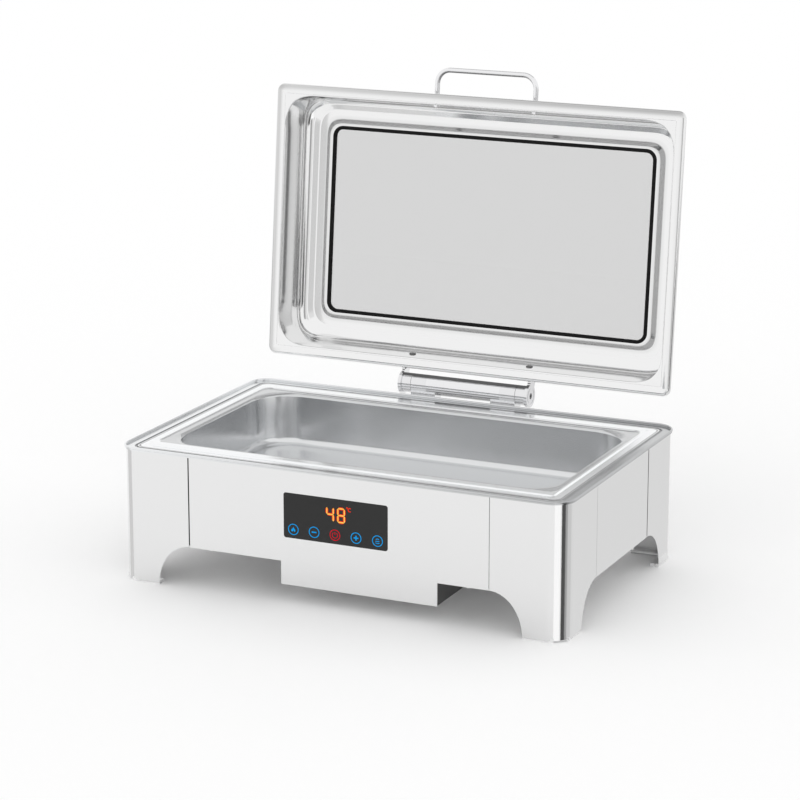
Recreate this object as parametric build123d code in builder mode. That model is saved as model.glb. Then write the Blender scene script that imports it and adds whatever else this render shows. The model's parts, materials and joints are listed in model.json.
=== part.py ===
"""Electric chafing dish with a hinged, windowed lid, modelled open at rest.

The origin is the centre of the stand's footprint on the table. X runs along the
front, Y towards the hinge at the rear and Z up. All lengths are in millimetres.
"""

import os
from math import cos, radians, sin, sqrt

from build123d import *

os.makedirs("parts", exist_ok=True)

# Small values shared by all pieces
overrun = 2.0
loose_clearance = 0.3
running_clearance = 0.05

# Stand: four corner legs and four panels of thin sheet
stand_width = 570.0
stand_depth = 361.4
stand_corner_radius = 24.0
shell_sheet = 0.8
apron_bottom = 51.5
front_wing = 92.3
side_wing = 95.9
front_foot = 51.4
side_foot = 51.6
hem_radius = 3.0
hem_lip = 1.2
left_seam = 1.6
right_seam = 0.6
near_seam = 0.4
far_seam = 2.0
return_width = 10.0
seam_strip_width = 22.0
seam_strip_sheet = 1.0
seam_strip_margin = 1.2

# Rim: flat band with a rolled bead outside and a sunk ledge inside
band_top = 162.8
rim_sheet = 1.0
bead_diameter = 2.6
bead_rise = 1.8
bead_overhang = 2.5
band_side_width = 10.5
band_end_width = 10.7
opening_corner_radius = 12.0
ledge_drop = 2.9

# Pans: both hang by their flanges on the ledge
pan_sheet = 1.0
flange_side_gap = 2.0
water_flange_inset = 0.5
food_side_flange = 20.0
food_end_flange = 34.5
food_well_height = 65.0
food_corner_radius = 12.0
food_mouth_radius = 6.0
food_bottom_radius = 9.0
food_taper = 2.0
water_flange = 16.0
water_well_height = 90.0
water_corner_radius = 18.0
water_mouth_radius = 2.5
water_bottom_radius = 12.0
ledge_clearance = 2.0

# Heater under the water pan
heat_plate_side_margin = 92.0
heat_plate_end_margin = 57.5
heat_plate_thickness = 3.0
heat_plate_corner = 12.0
tube_diameter = 6.5
tube_margin = 40.0
tube_bend_gap = 15.0
terminal_diameter = 3.0
terminal_length = 16.0
clamp_bar_width = 14.0
clamp_bar_sheet = 2.0
clamp_bar_inset = 40.0
stud_diameter = 5.0
stud_overhang = 3.0
nut_height = 3.6
nut_across = 8.0
clamp_stud_margin = 20.0
sensor_diameter = 8.0
sensor_height = 7.0
cutout_diameter = 16.0
cutout_height = 9.0
cutout_place_share = 9 / 17
cutout_terminal_spacing = 7.0
cutout_terminal_width = 3.0
cutout_terminal_height = 4.0

# Base plate on the panels' returns
base_sheet = 1.0
base_edge_gap = 2.6
base_corner_radius = 21.0
vent_length = 46.0
vent_width = 4.0
vent_pitch = 12.0
vent_rows = 7
vent_centre = -175.0
base_screw_diameter = 3.0
base_screw_head = 6.0
base_screw_head_height = 2.0
base_screw_length = 5.0
base_screw_front_inset = 27.7
base_screw_side_inset = 19.8

# Control box hung under the base plate
box_left = -72.0
box_right = 127.3
box_bottom = 22.3
box_front_setback = 2.7
box_length = 108.0
box_sheet = 1.0
box_end_recess = 1.0
box_flange = 12.0
box_flange_screw_margin = 18.0
board_sheet = 1.6
board_margin = 8.0
board_lift = 5.0
spacer_diameter = 6.0
relay_width = 20.0
relay_depth = 16.0
relay_height = 15.0
transformer_width = 34.0
transformer_depth = 28.0
transformer_height = 18.0
terminal_block_width = 30.0
terminal_block_depth = 10.0
terminal_block_height = 11.0

# Appliance inlet in the rear wall of the control box
inlet_flange_width = 50.0
inlet_flange_height = 24.0
inlet_flange_thickness = 3.0
inlet_body_width = 27.5
inlet_body_height = 19.8
inlet_body_depth = 17.0
inlet_chamfer = 5.0
inlet_wall = 1.6
inlet_floor = 3.0
inlet_screw_spacing = 40.0
inlet_screw_diameter = 3.0
inlet_screw_head = 5.6
inlet_screw_head_height = 1.8
inlet_place = 45.0
pin_spacing = 7.0
pin_drop = 4.0
pin_width = 2.0
pin_height = 4.0
pin_length = 12.0
pin_tail = 8.0

# Touch glass, its frame, the display and its board
glass_width = 133.0
glass_height = 54.3
glass_bottom = 81.0
glass_thickness = 2.0
glass_proud = 0.3
glass_corner = 3.0
glass_gap = 0.1
frame_margin = 7.0
frame_depth = 11.0
frame_wall = 2.0
frame_lip = 3.0
display_width = 27.0
display_height = 22.0
display_centre = 1.0
display_centre_height = 116.2
display_thickness = 5.0
touch_pad_diameter = 13.0
touch_pad_pitch = 26.9
touch_pad_height = 91.2
touch_pad_offset = -0.8

# Hinge at the rear
hinge_back = 14.3
hinge_rise = 14.8
barrel_diameter = 25.0
barrel_half_length = 50.0
barrel_bore = 19.0
joint_gap = 0.4
knuckle_end = 71.0
collar_end = 84.0
disc_end = 88.0
disc_diameter = 29.0
disc_groove_diameter = 21.0
disc_groove_width = 1.0
disc_groove_depth = 0.6
shaft_diameter = 10.0
bushing_length = 15.0
saddle_start = 38.0
saddle_reach = 8.0
saddle_bead_gap = 0.8
saddle_plate = 4.0
saddle_plate_bottom = 112.0
saddle_neck_top = 158.0
saddle_screw_low = 121.0
saddle_screw_high = 145.0
saddle_screw_diameter = 5.0
saddle_screw_head = 9.0
saddle_screw_head_height = 3.2
backing_sheet = 2.0
backing_half_width = 84.0
stop_tooth_length = 3.5
stop_inner_radius = 7.5
stop_tooth_angle = 40.0
stop_clearance_angle = 0.5
shaft_end = 85.5
arm_width = 12.0
arm_foot_inner = 72.0
arm_foot_depth = 20.0
arm_foot_thickness = 4.0
arm_foot_start = 13.0
lid_bolt_place = 80.0
lid_bolt_depth = 23.0
lid_bolt_diameter = 4.0
lid_bolt_nut_across = 7.0
lid_bolt_head = 8.6
lid_bolt_head_height = 2.6
end_screw_diameter = 4.0
end_screw_head = 7.0
end_screw_head_height = 1.6
end_screw_length = 12.0

# Lid, described from its rear edge upwards and from its flange backwards
lid_open_angle = 95.8
hinge_to_edge = 19.85
hinge_to_flange = 12.37
lid_side_gap = 0.5
lid_front_setback = 8.85
lid_corner_radius = 10.0
lid_sheet = 1.0
lid_bead_width = 8.0
lid_bead_height = 2.0
mouth_side_inset = 13.5
mouth_end_inset = 14.0
mouth_corner_radius = 37.0
mouth_edge_radius = 2.0
bowl_depth = 63.0
bowl_edge_radius = 16.0
recess_inset = 33.0
recess_depth = 4.5
recess_radius = 2.0
recess_corner_radius = 20.0
window_side_margin = 11.3
window_end_margin = 9.7
window_corner_radius = 10.0
gasket_band = 2.8
gasket_seat_gap = 2.0
gasket_lip = 1.2
gasket_web = 1.2
window_bite = 2.0
window_thickness = 4.0
window_lead = 0.4

# Lid handle
handle_rod = 6.5
handle_span = 132.8
handle_depth = 32.7
handle_reach = 41.6
handle_bend_radius = 17.0
handle_washer = 14.0
handle_washer_thickness = 1.5
handle_thread = 5.0
handle_nut_height = 2.5
handle_thread_end = 0.8
handle_nut_across = 8.0

# Worked-out places of the stand
half_width = stand_width / 2
half_depth = stand_depth / 2
shell_top = band_top - rim_sheet
inner_corner_radius = stand_corner_radius - shell_sheet
seam_x = half_width - front_wing
seam_y = half_depth - side_wing
front_arch = front_wing - front_foot
side_arch = side_wing - side_foot
base_screw_span = 2 * (seam_x - base_screw_front_inset)
base_screw_side_span = 2 * (seam_y - base_screw_side_inset)
opening_width = stand_width - 2 * band_side_width
opening_depth = stand_depth - 2 * band_end_width
ledge_top = band_top - ledge_drop + rim_sheet
water_flange_top = ledge_top + pan_sheet
food_flange_top = water_flange_top + pan_sheet
food_flange_width = opening_width - 2 * flange_side_gap
food_flange_depth = opening_depth - 2 * flange_side_gap
water_flange_width = food_flange_width + 2 * water_flange_inset
water_flange_depth = food_flange_depth + 2 * water_flange_inset
food_well_width = food_flange_width - 2 * food_side_flange
food_well_depth = food_flange_depth - 2 * food_end_flange
water_well_width = water_flange_width - 2 * water_flange
water_well_depth = water_flange_depth - 2 * water_flange


def swept_ring(base, width, depth, corner, section):
    """Ring round a rounded rectangle; its section is drawn inwards and upwards."""
    with BuildPart() as ring:
        with BuildLine(base) as half_path:
            FilletPolyline(
                (0, -depth / 2),
                (width / 2, -depth / 2),
                (width / 2, depth / 2),
                (0, depth / 2),
                radius=corner,
            )
        path = half_path.wire()
        with BuildSketch(Plane(origin=path @ 0, x_dir=base.y_dir, z_dir=path % 0)):
            add(section)
        sweep(path=path)
        mirror(about=Plane(origin=base.origin, z_dir=base.x_dir))
    return ring.part


def round_screw(base, head, head_height, shank, length):
    """Pan-head screw on a plane that faces out of the head's side."""
    with BuildPart() as screw:
        with BuildSketch(base):
            Circle(head / 2)
        extrude(amount=head_height)
        fillet(screw.faces().sort_by(Axis(base.origin, base.z_dir))[-1].edges(), head_height / 2)
        with BuildSketch(base):
            Circle(shank / 2)
        extrude(amount=-length)
    return screw.part


# Corner leg: two wings round a corner, arched to a foot with a rolled hem
with BuildPart() as leg_shape:
    with BuildSketch(Plane.XY.offset(hem_radius)):
        RectangleRounded(stand_width, stand_depth, stand_corner_radius)
        RectangleRounded(
            stand_width - 2 * shell_sheet,
            stand_depth - 2 * shell_sheet,
            inner_corner_radius,
            mode=Mode.SUBTRACT,
        )
        with Locations((seam_x, seam_y)):
            Rectangle(front_wing, side_wing, align=(Align.MIN, Align.MIN), mode=Mode.INTERSECT)
    extrude(amount=shell_top - hem_radius)
    with BuildSketch(Plane.XZ):
        with Locations((seam_x, 0)):
            Ellipse(front_arch, apron_bottom)
    extrude(amount=-stand_depth, mode=Mode.SUBTRACT)
    with BuildSketch(Plane.YZ):
        with Locations((seam_y, 0)):
            Ellipse(side_arch, apron_bottom)
    extrude(amount=stand_width, mode=Mode.SUBTRACT)
    with BuildLine() as hem_path:
        foot_start = (half_width - front_foot, half_depth)
        bend_start = (half_width - stand_corner_radius, half_depth)
        bend_end = (half_width, half_depth - stand_corner_radius)
        foot_end = (half_width, half_depth - side_foot)
        Line(foot_start, bend_start)
        RadiusArc(bend_start, bend_end, stand_corner_radius)
        Line(bend_end, foot_end)
    hem_plane = Plane(origin=(*foot_start, hem_radius), x_dir=(0, -1, 0), z_dir=(1, 0, 0))
    with BuildSketch(hem_plane):
        with Locations((hem_radius, 0)):
            Circle(hem_radius)
            Circle(hem_radius - shell_sheet, mode=Mode.SUBTRACT)
        with Locations((0, 0)):
            Rectangle(2 * hem_radius, hem_radius, align=(Align.MIN, Align.MIN), mode=Mode.INTERSECT)
        with Locations((2 * hem_radius - shell_sheet, 0)):
            Rectangle(shell_sheet, hem_lip, align=(Align.MIN, Align.MAX))
    sweep(path=hem_path.wire().moved(Location((0, 0, hem_radius))))

for side_name, side_sign in (("left", -1), ("right", 1)):
    for end_name, end_sign in (("front", -1), ("rear", 1)):
        with BuildPart() as corner_leg:
            placed_leg = leg_shape.part
            if side_sign < 0:
                placed_leg = mirror(placed_leg, about=Plane.YZ, mode=Mode.PRIVATE)
            if end_sign < 0:
                placed_leg = mirror(placed_leg, about=Plane.XZ, mode=Mode.PRIVATE)
            add(placed_leg)
        corner_leg.part.label = f"corner_leg_{end_name}_{side_name}"
        export_step(corner_leg.part, f"parts/corner_leg_{end_name}_{side_name}.step")

# Front and rear panels, each with a return under it, and the control opening in front
base_top = apron_bottom + shell_sheet + base_sheet
for end_name, end_sign in (("front", -1), ("rear", 1)):
    with BuildPart() as end_panel:
        with BuildSketch(Plane.XY.offset(apron_bottom)):
            with Locations(((left_seam - right_seam) / 2, end_sign * half_depth)):
                Rectangle(
                    2 * seam_x - left_seam - right_seam,
                    shell_sheet,
                    align=(Align.CENTER, Align.MIN if end_sign < 0 else Align.MAX),
                )
        extrude(amount=shell_top - apron_bottom)
        with BuildSketch(Plane.XY.offset(apron_bottom)):
            with Locations(((left_seam - right_seam) / 2, end_sign * half_depth)):
                Rectangle(
                    2 * seam_x - left_seam - right_seam,
                    return_width,
                    align=(Align.CENTER, Align.MIN if end_sign < 0 else Align.MAX),
                )
        extrude(amount=shell_sheet)
        with BuildSketch(Plane.XY.offset(apron_bottom)):
            with Locations((0, end_sign * (half_depth - return_width / 2))):
                with GridLocations(base_screw_span, 0, 2, 1):
                    Circle(base_screw_diameter / 2)
        extrude(amount=shell_sheet, mode=Mode.SUBTRACT)
        if end_sign < 0:
            with BuildSketch(Plane.XZ.offset(half_depth + overrun)):
                with Locations((0, glass_bottom + glass_height / 2)):
                    RectangleRounded(
                        glass_width + 2 * glass_gap, glass_height + 2 * glass_gap, glass_corner + glass_gap
                    )
            extrude(amount=-overrun - shell_sheet - overrun, mode=Mode.SUBTRACT)
        if end_sign > 0:
            with BuildSketch(Plane.XZ.offset(-half_depth - overrun)):
                for place in (-1, 1):
                    middle = place * (saddle_start + knuckle_end) / 2
                    with Locations((middle, saddle_screw_low), (middle, saddle_screw_high)):
                        Circle(saddle_screw_diameter / 2)
            extrude(amount=overrun + shell_sheet + overrun, mode=Mode.SUBTRACT)
    end_panel.part.label = f"{end_name}_panel"
    export_step(end_panel.part, f"parts/{end_name}_panel.step")

# Side panels
side_shift = (near_seam - far_seam) / 2
for side_name, side_sign in (("left", -1), ("right", 1)):
    with BuildPart() as side_panel:
        for reach, high in ((shell_sheet, shell_top), (return_width, apron_bottom + shell_sheet)):
            with BuildSketch(Plane.XY.offset(apron_bottom)):
                with Locations((side_sign * half_width, side_shift)):
                    Rectangle(
                        reach,
                        2 * seam_y - near_seam - far_seam,
                        align=(Align.MIN if side_sign < 0 else Align.MAX, Align.CENTER),
                    )
            extrude(amount=high - apron_bottom)
        with BuildSketch(Plane.XY.offset(apron_bottom)):
            with Locations((side_sign * (half_width - return_width / 2), 0)):
                with GridLocations(0, base_screw_side_span, 1, 2):
                    Circle(base_screw_diameter / 2)
        extrude(amount=shell_sheet, mode=Mode.SUBTRACT)
    side_panel.part.label = f"{side_name}_panel"
    export_step(side_panel.part, f"parts/{side_name}_panel.step")

# Strips that back the eight seams
strip_low = base_top + seam_strip_margin
strip_high = shell_top - seam_strip_margin
with BuildPart() as seam_strips:
    with BuildSketch(Plane.XY.offset(strip_low)):
        for end_sign in (-1, 1):
            strip_y = end_sign * (half_depth - shell_sheet - seam_strip_sheet / 2)
            with Locations((-seam_x, strip_y), (seam_x, strip_y)):
                Rectangle(seam_strip_width, seam_strip_sheet)
        for side_sign in (-1, 1):
            strip_x = side_sign * (half_width - shell_sheet - seam_strip_sheet / 2)
            with Locations((strip_x, -seam_y), (strip_x, seam_y)):
                Rectangle(seam_strip_sheet, seam_strip_width)
    extrude(amount=strip_high - strip_low)
seam_strips.part.label = "seam_strips"
export_step(seam_strips.part, "parts/seam_strips.step")

# Rim: band, sunk ledge and rolled bead
bead_radius = bead_diameter / 2
rim_width = stand_width + 2 * bead_overhang
rim_depth = stand_depth + 2 * bead_overhang
rim_corner = stand_corner_radius + bead_overhang
bead_height = band_top + bead_rise
step_width = opening_width + 2 * rim_sheet
step_depth = opening_depth + 2 * rim_sheet
step_corner = opening_corner_radius + rim_sheet
ledge_hole_width = water_well_width + 2 * pan_sheet + 2 * ledge_clearance
ledge_hole_depth = water_well_depth + 2 * pan_sheet + 2 * ledge_clearance
ledge_hole_corner = water_corner_radius + pan_sheet + ledge_clearance
with BuildSketch() as bead_section:
    Circle(bead_radius)
with BuildPart() as top_rim:
    with BuildSketch(Plane.XY.offset(shell_top)):
        RectangleRounded(rim_width - bead_radius, rim_depth - bead_radius, rim_corner - bead_radius / 2)
        RectangleRounded(opening_width, opening_depth, opening_corner_radius, mode=Mode.SUBTRACT)
    extrude(amount=rim_sheet)
    with BuildSketch(Plane.XY.offset(ledge_top - rim_sheet)):
        RectangleRounded(step_width, step_depth, step_corner)
        RectangleRounded(opening_width, opening_depth, opening_corner_radius, mode=Mode.SUBTRACT)
    extrude(amount=shell_top - ledge_top + rim_sheet)
    with BuildSketch(Plane.XY.offset(ledge_top - rim_sheet)):
        RectangleRounded(step_width, step_depth, step_corner)
        RectangleRounded(ledge_hole_width, ledge_hole_depth, ledge_hole_corner, mode=Mode.SUBTRACT)
    extrude(amount=rim_sheet)
    with BuildSketch(Plane.XY.offset(shell_top)):
        RectangleRounded(rim_width - bead_radius, rim_depth - bead_radius, rim_corner - bead_radius / 2)
        RectangleRounded(
            rim_width - 3 * bead_radius,
            rim_depth - 3 * bead_radius,
            rim_corner - 3 * bead_radius / 2,
            mode=Mode.SUBTRACT,
        )
    extrude(amount=bead_height - shell_top)
    add(
        swept_ring(
            Plane.XY.offset(bead_height),
            rim_width - bead_diameter,
            rim_depth - bead_diameter,
            rim_corner - bead_radius,
            bead_section.sketch,
        )
    )
top_rim.part.label = "top_rim"
export_step(top_rim.part, "parts/top_rim.step")


def hung_pan(flange_width, flange_depth, flange_corner, top, well, taper_angle, mouth, bottom):
    """Drawn pan: a flat flange, a filleted mouth and a tapered, rounded well."""
    well_width, well_depth, well_height, well_corner = well
    with BuildPart() as cavity:
        with BuildSketch(Plane.XY.offset(top)):
            RectangleRounded(well_width, well_depth, well_corner)
        extrude(amount=-well_height + pan_sheet, taper=taper_angle)
        fillet(cavity.faces().sort_by(Axis.Z)[0].edges(), bottom)
    with BuildPart() as pan:
        with BuildSketch(Plane.XY.offset(top)):
            RectangleRounded(well_width + 2 * pan_sheet, well_depth + 2 * pan_sheet, well_corner + pan_sheet)
        extrude(amount=-well_height, taper=taper_angle)
        fillet(pan.faces().sort_by(Axis.Z)[0].edges(), bottom + pan_sheet)
        with BuildSketch(Plane.XY.offset(top)):
            RectangleRounded(flange_width, flange_depth, flange_corner)
        extrude(amount=-pan_sheet)
        under = pan.faces().filter_by(Plane.XY).sort_by(Axis.Z)[-2]
        fillet(under.inner_wires()[0].edges(), mouth - pan_sheet)
        add(cavity.part, mode=Mode.SUBTRACT)
        above = pan.faces().filter_by(Plane.XY).sort_by(Axis.Z)[-1]
        fillet(above.inner_wires()[0].edges(), mouth)
    return pan.part


with BuildPart() as food_pan:
    add(
        hung_pan(
            food_flange_width,
            food_flange_depth,
            opening_corner_radius - flange_side_gap,
            food_flange_top,
            (food_well_width, food_well_depth, food_well_height, food_corner_radius),
            food_taper,
            food_mouth_radius,
            food_bottom_radius,
        )
    )
food_pan.part.label = "food_pan"
export_step(food_pan.part, "parts/food_pan.step")

with BuildPart() as water_pan:
    add(
        hung_pan(
            water_flange_width,
            water_flange_depth,
            opening_corner_radius - flange_side_gap + water_flange_inset,
            water_flange_top,
            (water_well_width, water_well_depth, water_well_height, water_corner_radius),
            0,
            water_mouth_radius,
            water_bottom_radius,
        )
    )
water_pan.part.label = "water_pan"
export_step(water_pan.part, "parts/water_pan.step")

# Heating plate, tube, clamp bars and their fixings under the water pan
heat_plate_width = water_well_width - 2 * heat_plate_side_margin
heat_plate_depth = water_well_depth - 2 * heat_plate_end_margin
tube_length = heat_plate_width - 2 * tube_margin
tube_spacing = heat_plate_depth - 2 * tube_margin
tube_bend_radius = tube_spacing / 2 - tube_bend_gap
clamp_bar_spacing = tube_length - 2 * clamp_bar_inset
cutout_offset = cutout_place_share * clamp_bar_spacing / 2
clamp_stud_spacing = heat_plate_depth - 2 * clamp_stud_margin
plate_top = water_flange_top - water_well_height
plate_bottom = plate_top - heat_plate_thickness
tube_height = plate_bottom - tube_diameter / 2
bar_top = plate_bottom - tube_diameter
clamp_places = [
    (x_share * clamp_bar_spacing / 2, y_share * clamp_stud_spacing / 2) for x_share in (-1, 1) for y_share in (-1, 1)
]
with BuildPart() as heating_plate:
    with BuildSketch(Plane.XY.offset(plate_bottom)):
        RectangleRounded(heat_plate_width, heat_plate_depth, heat_plate_corner)
        with Locations(*clamp_places):
            Circle(stud_diameter / 2 + loose_clearance, mode=Mode.SUBTRACT)
    extrude(amount=heat_plate_thickness)
heating_plate.part.label = "heating_plate"
export_step(heating_plate.part, "parts/heating_plate.step")

with BuildPart() as heating_tube:
    with BuildLine(Plane.XY.offset(tube_height)) as tube_path:
        FilletPolyline(
            (tube_length / 2, -tube_spacing / 2),
            (-tube_length / 2, -tube_spacing / 2),
            (-tube_length / 2, tube_spacing / 2),
            (tube_length / 2, tube_spacing / 2),
            radius=tube_bend_radius,
        )
    tube_wire = tube_path.wire()
    with BuildSketch(Plane(origin=tube_wire @ 0, z_dir=tube_wire % 0)):
        Circle(tube_diameter / 2)
    sweep(path=tube_wire)
    with BuildSketch(Plane.YZ.offset(tube_length / 2)):
        with Locations((-tube_spacing / 2, tube_height), (tube_spacing / 2, tube_height)):
            Circle(terminal_diameter / 2)
    extrude(amount=terminal_length)
heating_tube.part.label = "heating_tube"
export_step(heating_tube.part, "parts/heating_tube.step")

with BuildPart() as heater_clamps:
    with BuildSketch(Plane.XY.offset(bar_top - clamp_bar_sheet)):
        with GridLocations(clamp_bar_spacing, 0, 2, 1):
            Rectangle(clamp_bar_width, clamp_stud_spacing + clamp_bar_width)
        with Locations(*clamp_places):
            Circle(stud_diameter / 2 + loose_clearance, mode=Mode.SUBTRACT)
    extrude(amount=clamp_bar_sheet)
heater_clamps.part.label = "heater_clamps"
export_step(heater_clamps.part, "parts/heater_clamps.step")

nut_top = bar_top - clamp_bar_sheet
stud_bottom = nut_top - nut_height - stud_overhang
with BuildPart() as heater_studs:
    with BuildSketch(Plane.XY.offset(stud_bottom)):
        with Locations(*clamp_places):
            Circle(stud_diameter / 2)
    extrude(amount=plate_top - stud_bottom)
heater_studs.part.label = "heater_studs"
export_step(heater_studs.part, "parts/heater_studs.step")

with BuildPart() as heater_nuts:
    with BuildSketch(Plane.XY.offset(nut_top)):
        with Locations(*clamp_places):
            RegularPolygon(nut_across / sqrt(3), 6)
            Circle(stud_diameter / 2, mode=Mode.SUBTRACT)
    extrude(amount=-nut_height)
heater_nuts.part.label = "heater_nuts"
export_step(heater_nuts.part, "parts/heater_nuts.step")

with BuildPart() as temperature_sensor:
    with BuildSketch(Plane.XY.offset(plate_bottom)):
        Circle(sensor_diameter / 2)
    extrude(amount=-sensor_height)
    fillet(temperature_sensor.faces().sort_by(Axis.Z)[0].edges(), sensor_diameter / 8)
temperature_sensor.part.label = "temperature_sensor"
export_step(temperature_sensor.part, "parts/temperature_sensor.step")

with BuildPart() as thermal_cutout:
    with BuildSketch(Plane.XY.offset(plate_bottom)):
        with Locations((cutout_offset, 0)):
            Circle(cutout_diameter / 2)
    extrude(amount=-cutout_height)
    with BuildSketch(Plane.XY.offset(plate_bottom - cutout_height)):
        with Locations((cutout_offset, 0)):
            with GridLocations(cutout_terminal_spacing, 0, 2, 1):
                Rectangle(shell_sheet, cutout_terminal_width)
    extrude(amount=-cutout_terminal_height)
thermal_cutout.part.label = "thermal_cutout"
export_step(thermal_cutout.part, "parts/thermal_cutout.step")

# Base plate with vents, held by screws through the panels' returns
base_bottom = apron_bottom + shell_sheet
base_places = []
for end_sign in (-1, 1):
    for side_sign in (-1, 1):
        base_places.append((side_sign * base_screw_span / 2, end_sign * (half_depth - return_width / 2)))
        base_places.append((side_sign * (half_width - return_width / 2), end_sign * base_screw_side_span / 2))
box_front = -half_depth + box_front_setback
box_rear = box_front + box_length
box_middle = (box_left + box_right) / 2
box_screw_places = [
    (box_left + box_flange_screw_margin, box_rear + box_flange / 2),
    (box_right - box_flange_screw_margin, box_rear + box_flange / 2),
]
with BuildPart() as base_plate:
    with BuildSketch(Plane.XY.offset(base_bottom)):
        RectangleRounded(
            stand_width - 2 * base_edge_gap, stand_depth - 2 * base_edge_gap, base_corner_radius
        )
        with Locations(*base_places, *box_screw_places):
            Circle(base_screw_diameter / 2, mode=Mode.SUBTRACT)
        with Locations((vent_centre, 0), (-vent_centre, 0)):
            with GridLocations(0, vent_pitch, 1, vent_rows):
                SlotOverall(vent_length, vent_width, mode=Mode.SUBTRACT)
    extrude(amount=base_sheet)
base_plate.part.label = "base_plate"
export_step(base_plate.part, "parts/base_plate.step")

with BuildPart() as base_screws:
    for place in base_places:
        add(
            round_screw(
                Plane(origin=(*place, apron_bottom), x_dir=(1, 0, 0), z_dir=(0, 0, -1)),
                base_screw_head,
                base_screw_head_height,
                base_screw_diameter,
                base_screw_length,
            )
        )
base_screws.part.label = "base_screws"
export_step(base_screws.part, "parts/base_screws.step")

# Control box: a channel of sheet along X with dark end plates set into it
inlet_x = box_right - inlet_place
inlet_z = (box_bottom + apron_bottom) / 2
with BuildPart() as box_tray:
    with BuildSketch(Plane.XY.offset(box_bottom)):
        with Locations((box_middle, box_front)):
            Rectangle(box_right - box_left, box_length, align=(Align.CENTER, Align.MIN))
    extrude(amount=box_sheet)
    with BuildSketch(Plane.XY.offset(box_bottom)):
        with Locations((box_middle, box_front)):
            Rectangle(box_right - box_left, box_sheet, align=(Align.CENTER, Align.MIN))
    extrude(amount=apron_bottom - box_bottom)
    with BuildSketch(Plane.XY.offset(box_bottom)):
        with Locations((box_middle, box_rear)):
            Rectangle(box_right - box_left, box_sheet, align=(Align.CENTER, Align.MAX))
    extrude(amount=base_bottom - box_bottom)
    with BuildSketch(Plane.XY.offset(base_bottom - box_sheet)):
        with Locations((box_middle, box_rear)):
            Rectangle(box_right - box_left, box_flange, align=(Align.CENTER, Align.MIN))
        with Locations(*box_screw_places):
            Circle(base_screw_diameter / 2, mode=Mode.SUBTRACT)
    extrude(amount=box_sheet)
    with BuildSketch(Plane.XZ.offset(-box_rear - overrun)):
        with Locations((inlet_x, inlet_z)):
            Rectangle(inlet_body_width + 2 * loose_clearance, inlet_body_height + 2 * loose_clearance)
            with GridLocations(inlet_screw_spacing, 0, 2, 1):
                Circle(inlet_screw_diameter / 2)
    extrude(amount=overrun + box_sheet + overrun, mode=Mode.SUBTRACT)
box_tray.part.label = "box_tray"
export_step(box_tray.part, "parts/box_tray.step")

for side_name, inner_face in (
    ("left", box_left + box_end_recess),
    ("right", box_right - box_end_recess - box_sheet),
):
    with BuildPart() as box_end:
        with BuildSketch(Plane.YZ.offset(inner_face)):
            with Locations((box_front + box_sheet, box_bottom + box_sheet)):
                Rectangle(
                    box_length - 2 * box_sheet,
                    apron_bottom - box_bottom - box_sheet,
                    align=(Align.MIN, Align.MIN),
                )
        extrude(amount=box_sheet)
    box_end.part.label = f"box_end_{side_name}"
    export_step(box_end.part, f"parts/box_end_{side_name}.step")

with BuildPart() as box_screws:
    for place in box_screw_places:
        add(
            round_screw(
                Plane(origin=(*place, base_bottom - box_sheet), x_dir=(1, 0, 0), z_dir=(0, 0, -1)),
                base_screw_head,
                base_screw_head_height,
                base_screw_diameter,
                base_screw_length,
            )
        )
box_screws.part.label = "box_screws"
export_step(box_screws.part, "parts/box_screws.step")

# Power board on four spacers in the box, with its relay, transformer and terminals
board_width = box_right - box_left - 2 * box_end_recess - 2 * box_sheet - 2 * board_margin
board_depth = box_length - 2 * box_sheet - inlet_body_depth - 2 * board_margin
board_y = box_front + box_sheet + board_margin + board_depth / 2
board_bottom = box_bottom + box_sheet + board_lift
board_top = board_bottom + board_sheet
with BuildPart() as power_board:
    with BuildSketch(Plane.XY.offset(board_bottom)):
        with Locations((box_middle, board_y)):
            Rectangle(board_width, board_depth)
    extrude(amount=board_sheet)
    with BuildSketch(Plane.XY.offset(board_bottom)):
        with Locations((box_middle, board_y)):
            with GridLocations(board_width - 2 * board_margin, board_depth - 2 * board_margin, 2, 2):
                Circle(spacer_diameter / 2)
    extrude(amount=-board_lift)
power_board.part.label = "power_board"
export_step(power_board.part, "parts/power_board.step")

with BuildPart() as board_components:
    with BuildSketch(Plane.XY.offset(board_top)):
        with Locations((box_middle - board_width / 4, board_y)):
            Rectangle(transformer_width, transformer_depth)
    extrude(amount=transformer_height)
    with BuildSketch(Plane.XY.offset(board_top)):
        with Locations((box_middle + relay_width / 2, board_y)):
            Rectangle(relay_width, relay_depth)
    extrude(amount=relay_height)
    with BuildSketch(Plane.XY.offset(board_top)):
        with Locations((box_middle + board_width / 3, board_y)):
            Rectangle(terminal_block_width, terminal_block_depth)
    extrude(amount=terminal_block_height)
board_components.part.label = "board_components"
export_step(board_components.part, "parts/board_components.step")

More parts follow.
